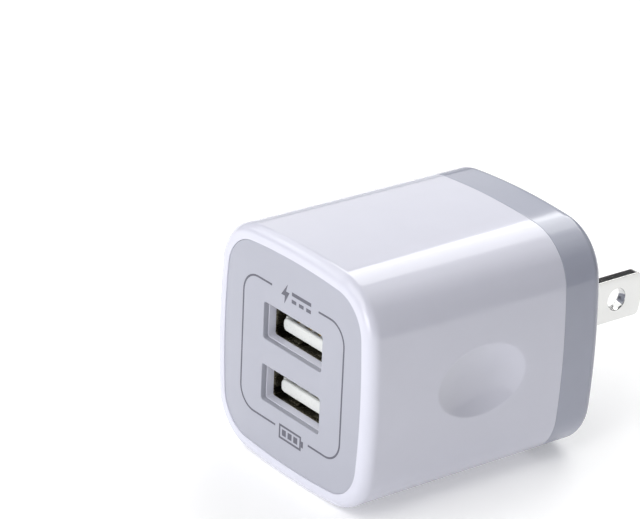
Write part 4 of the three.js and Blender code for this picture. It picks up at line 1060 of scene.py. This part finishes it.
def build_floor():
    """A wide pale floor that glows slightly."""
    bm = bmesh.new()
    bmesh.ops.create_circle(bm, cap_ends=True, segments=FLOOR_SIDES, radius=FLOOR_R)
    mesh = bpy.data.meshes.new("floor")
    bm.to_mesh(mesh)
    bm.free()
    paper = material("floor_paper", FLOOR_COLOR, 0.7, tint=0.004, specular=0.1)
    glow = paper.node_tree.nodes["Principled BSDF"].inputs
    glow["Emission Color"].default_value = (1, 1, 1, 1)
    glow["Emission Strength"].default_value = FLOOR_GLOW
    mesh.materials.append(paper)
    floor = bpy.data.objects.new("floor", mesh)
    floor.location.z = HOUSING_LOW.z
    bpy.context.scene.collection.objects.link(floor)


def sheet_light(name, direction, distance, size, radiance, width_axis, shift):
    """A rectangular light that faces the charger, moved along its width by the shift."""
    light = bpy.data.lights.new(name, "AREA")
    light.shape = "RECTANGLE"
    light.size, light.size_y = size
    light.energy = radiance * math.pi * size[0] * size[1]
    holder = bpy.data.objects.new(name, light)
    back = Vector(direction).normalized()
    across = Vector(width_axis)
    across = (across - back * across.dot(back)).normalized()
    turn = Matrix((across, back.cross(across), back)).transposed()
    place = MIDDLE + back * distance + across * shift
    holder.matrix_world = Matrix.Translation(place) @ turn.to_4x4()
    holder.visible_camera = False
    bpy.context.scene.collection.objects.link(holder)


def soft_light(name, direction, distance, size, radiance, width_axis, fade):
    """A softbox. One that fades is made of sheets, each shorter than the one in front of it."""
    if not fade:
        sheet_light(name, direction, distance, size, radiance, width_axis, 0)
        return
    for i in range(LIGHT_SHEETS):
        short = fade * i / (LIGHT_SHEETS - 1)
        sheet_size = (size[0] - short, size[1])
        away = distance + i * LIGHT_SHEET_GAP
        share = radiance / LIGHT_SHEETS
        sheet_light(f"{name}_{i + 1}", direction, away, sheet_size, share, width_axis, -short / 2)


def black_card(name, place, size, turn):
    """An upright black card, hidden from the camera, that takes light or a reflection off the charger."""
    half_width, half_height = size[0] / 2, size[1] / 2
    corners = [(-half_width, -half_height), (half_width, -half_height)]
    corners += [(half_width, half_height), (-half_width, half_height)]
    bm = bmesh.new()
    bm.faces.new([bm.verts.new((u, 0, v)) for u, v in corners])
    mesh = bpy.data.meshes.new(name)
    bm.to_mesh(mesh)
    bm.free()
    mesh.materials.append(MATERIALS["black_plastic"])
    card = bpy.data.objects.new(name, mesh)
    card.location = place
    card.rotation_euler.z = turn
    card.visible_camera = False
    bpy.context.scene.collection.objects.link(card)


def build_world():
    """An even, almost dark surrounding."""
    world = bpy.data.worlds.new("studio")
    world.use_nodes = True
    world.node_tree.nodes["Background"].inputs["Color"].default_value = (*WORLD_COLOR, 1)
    bpy.context.scene.world = world


def build_camera():
    """The camera, aimed first and then rolled."""
    camera = bpy.data.cameras.new("camera")
    camera.lens = CAMERA_LENS
    camera.clip_start, camera.clip_end = CAMERA_CLIP
    holder = bpy.data.objects.new("camera", camera)
    back = (CAMERA - CAMERA_AIM).normalized()
    level = Vector((0, 0, 1)).cross(back).normalized()
    upright = back.cross(level)
    right = level * math.cos(CAMERA_ROLL) + upright * math.sin(CAMERA_ROLL)
    turn = Matrix((right, back.cross(right), back)).transposed()
    holder.matrix_world = Matrix.Translation(CAMERA) @ turn.to_4x4()
    bpy.context.scene.collection.objects.link(holder)
    bpy.context.scene.camera = holder


build_floor()
black_card("edge_card", EDGE_CARD_PLACE, EDGE_CARD_SIZE, EDGE_CARD_TURN)
black_card("side_card", SIDE_CARD_PLACE, SIDE_CARD_SIZE, SIDE_CARD_TURN)
build_world()
build_camera()
for light in SOFT_LIGHTS:
    soft_light(*light)
bpy.context.scene.view_settings.view_transform = "Standard"
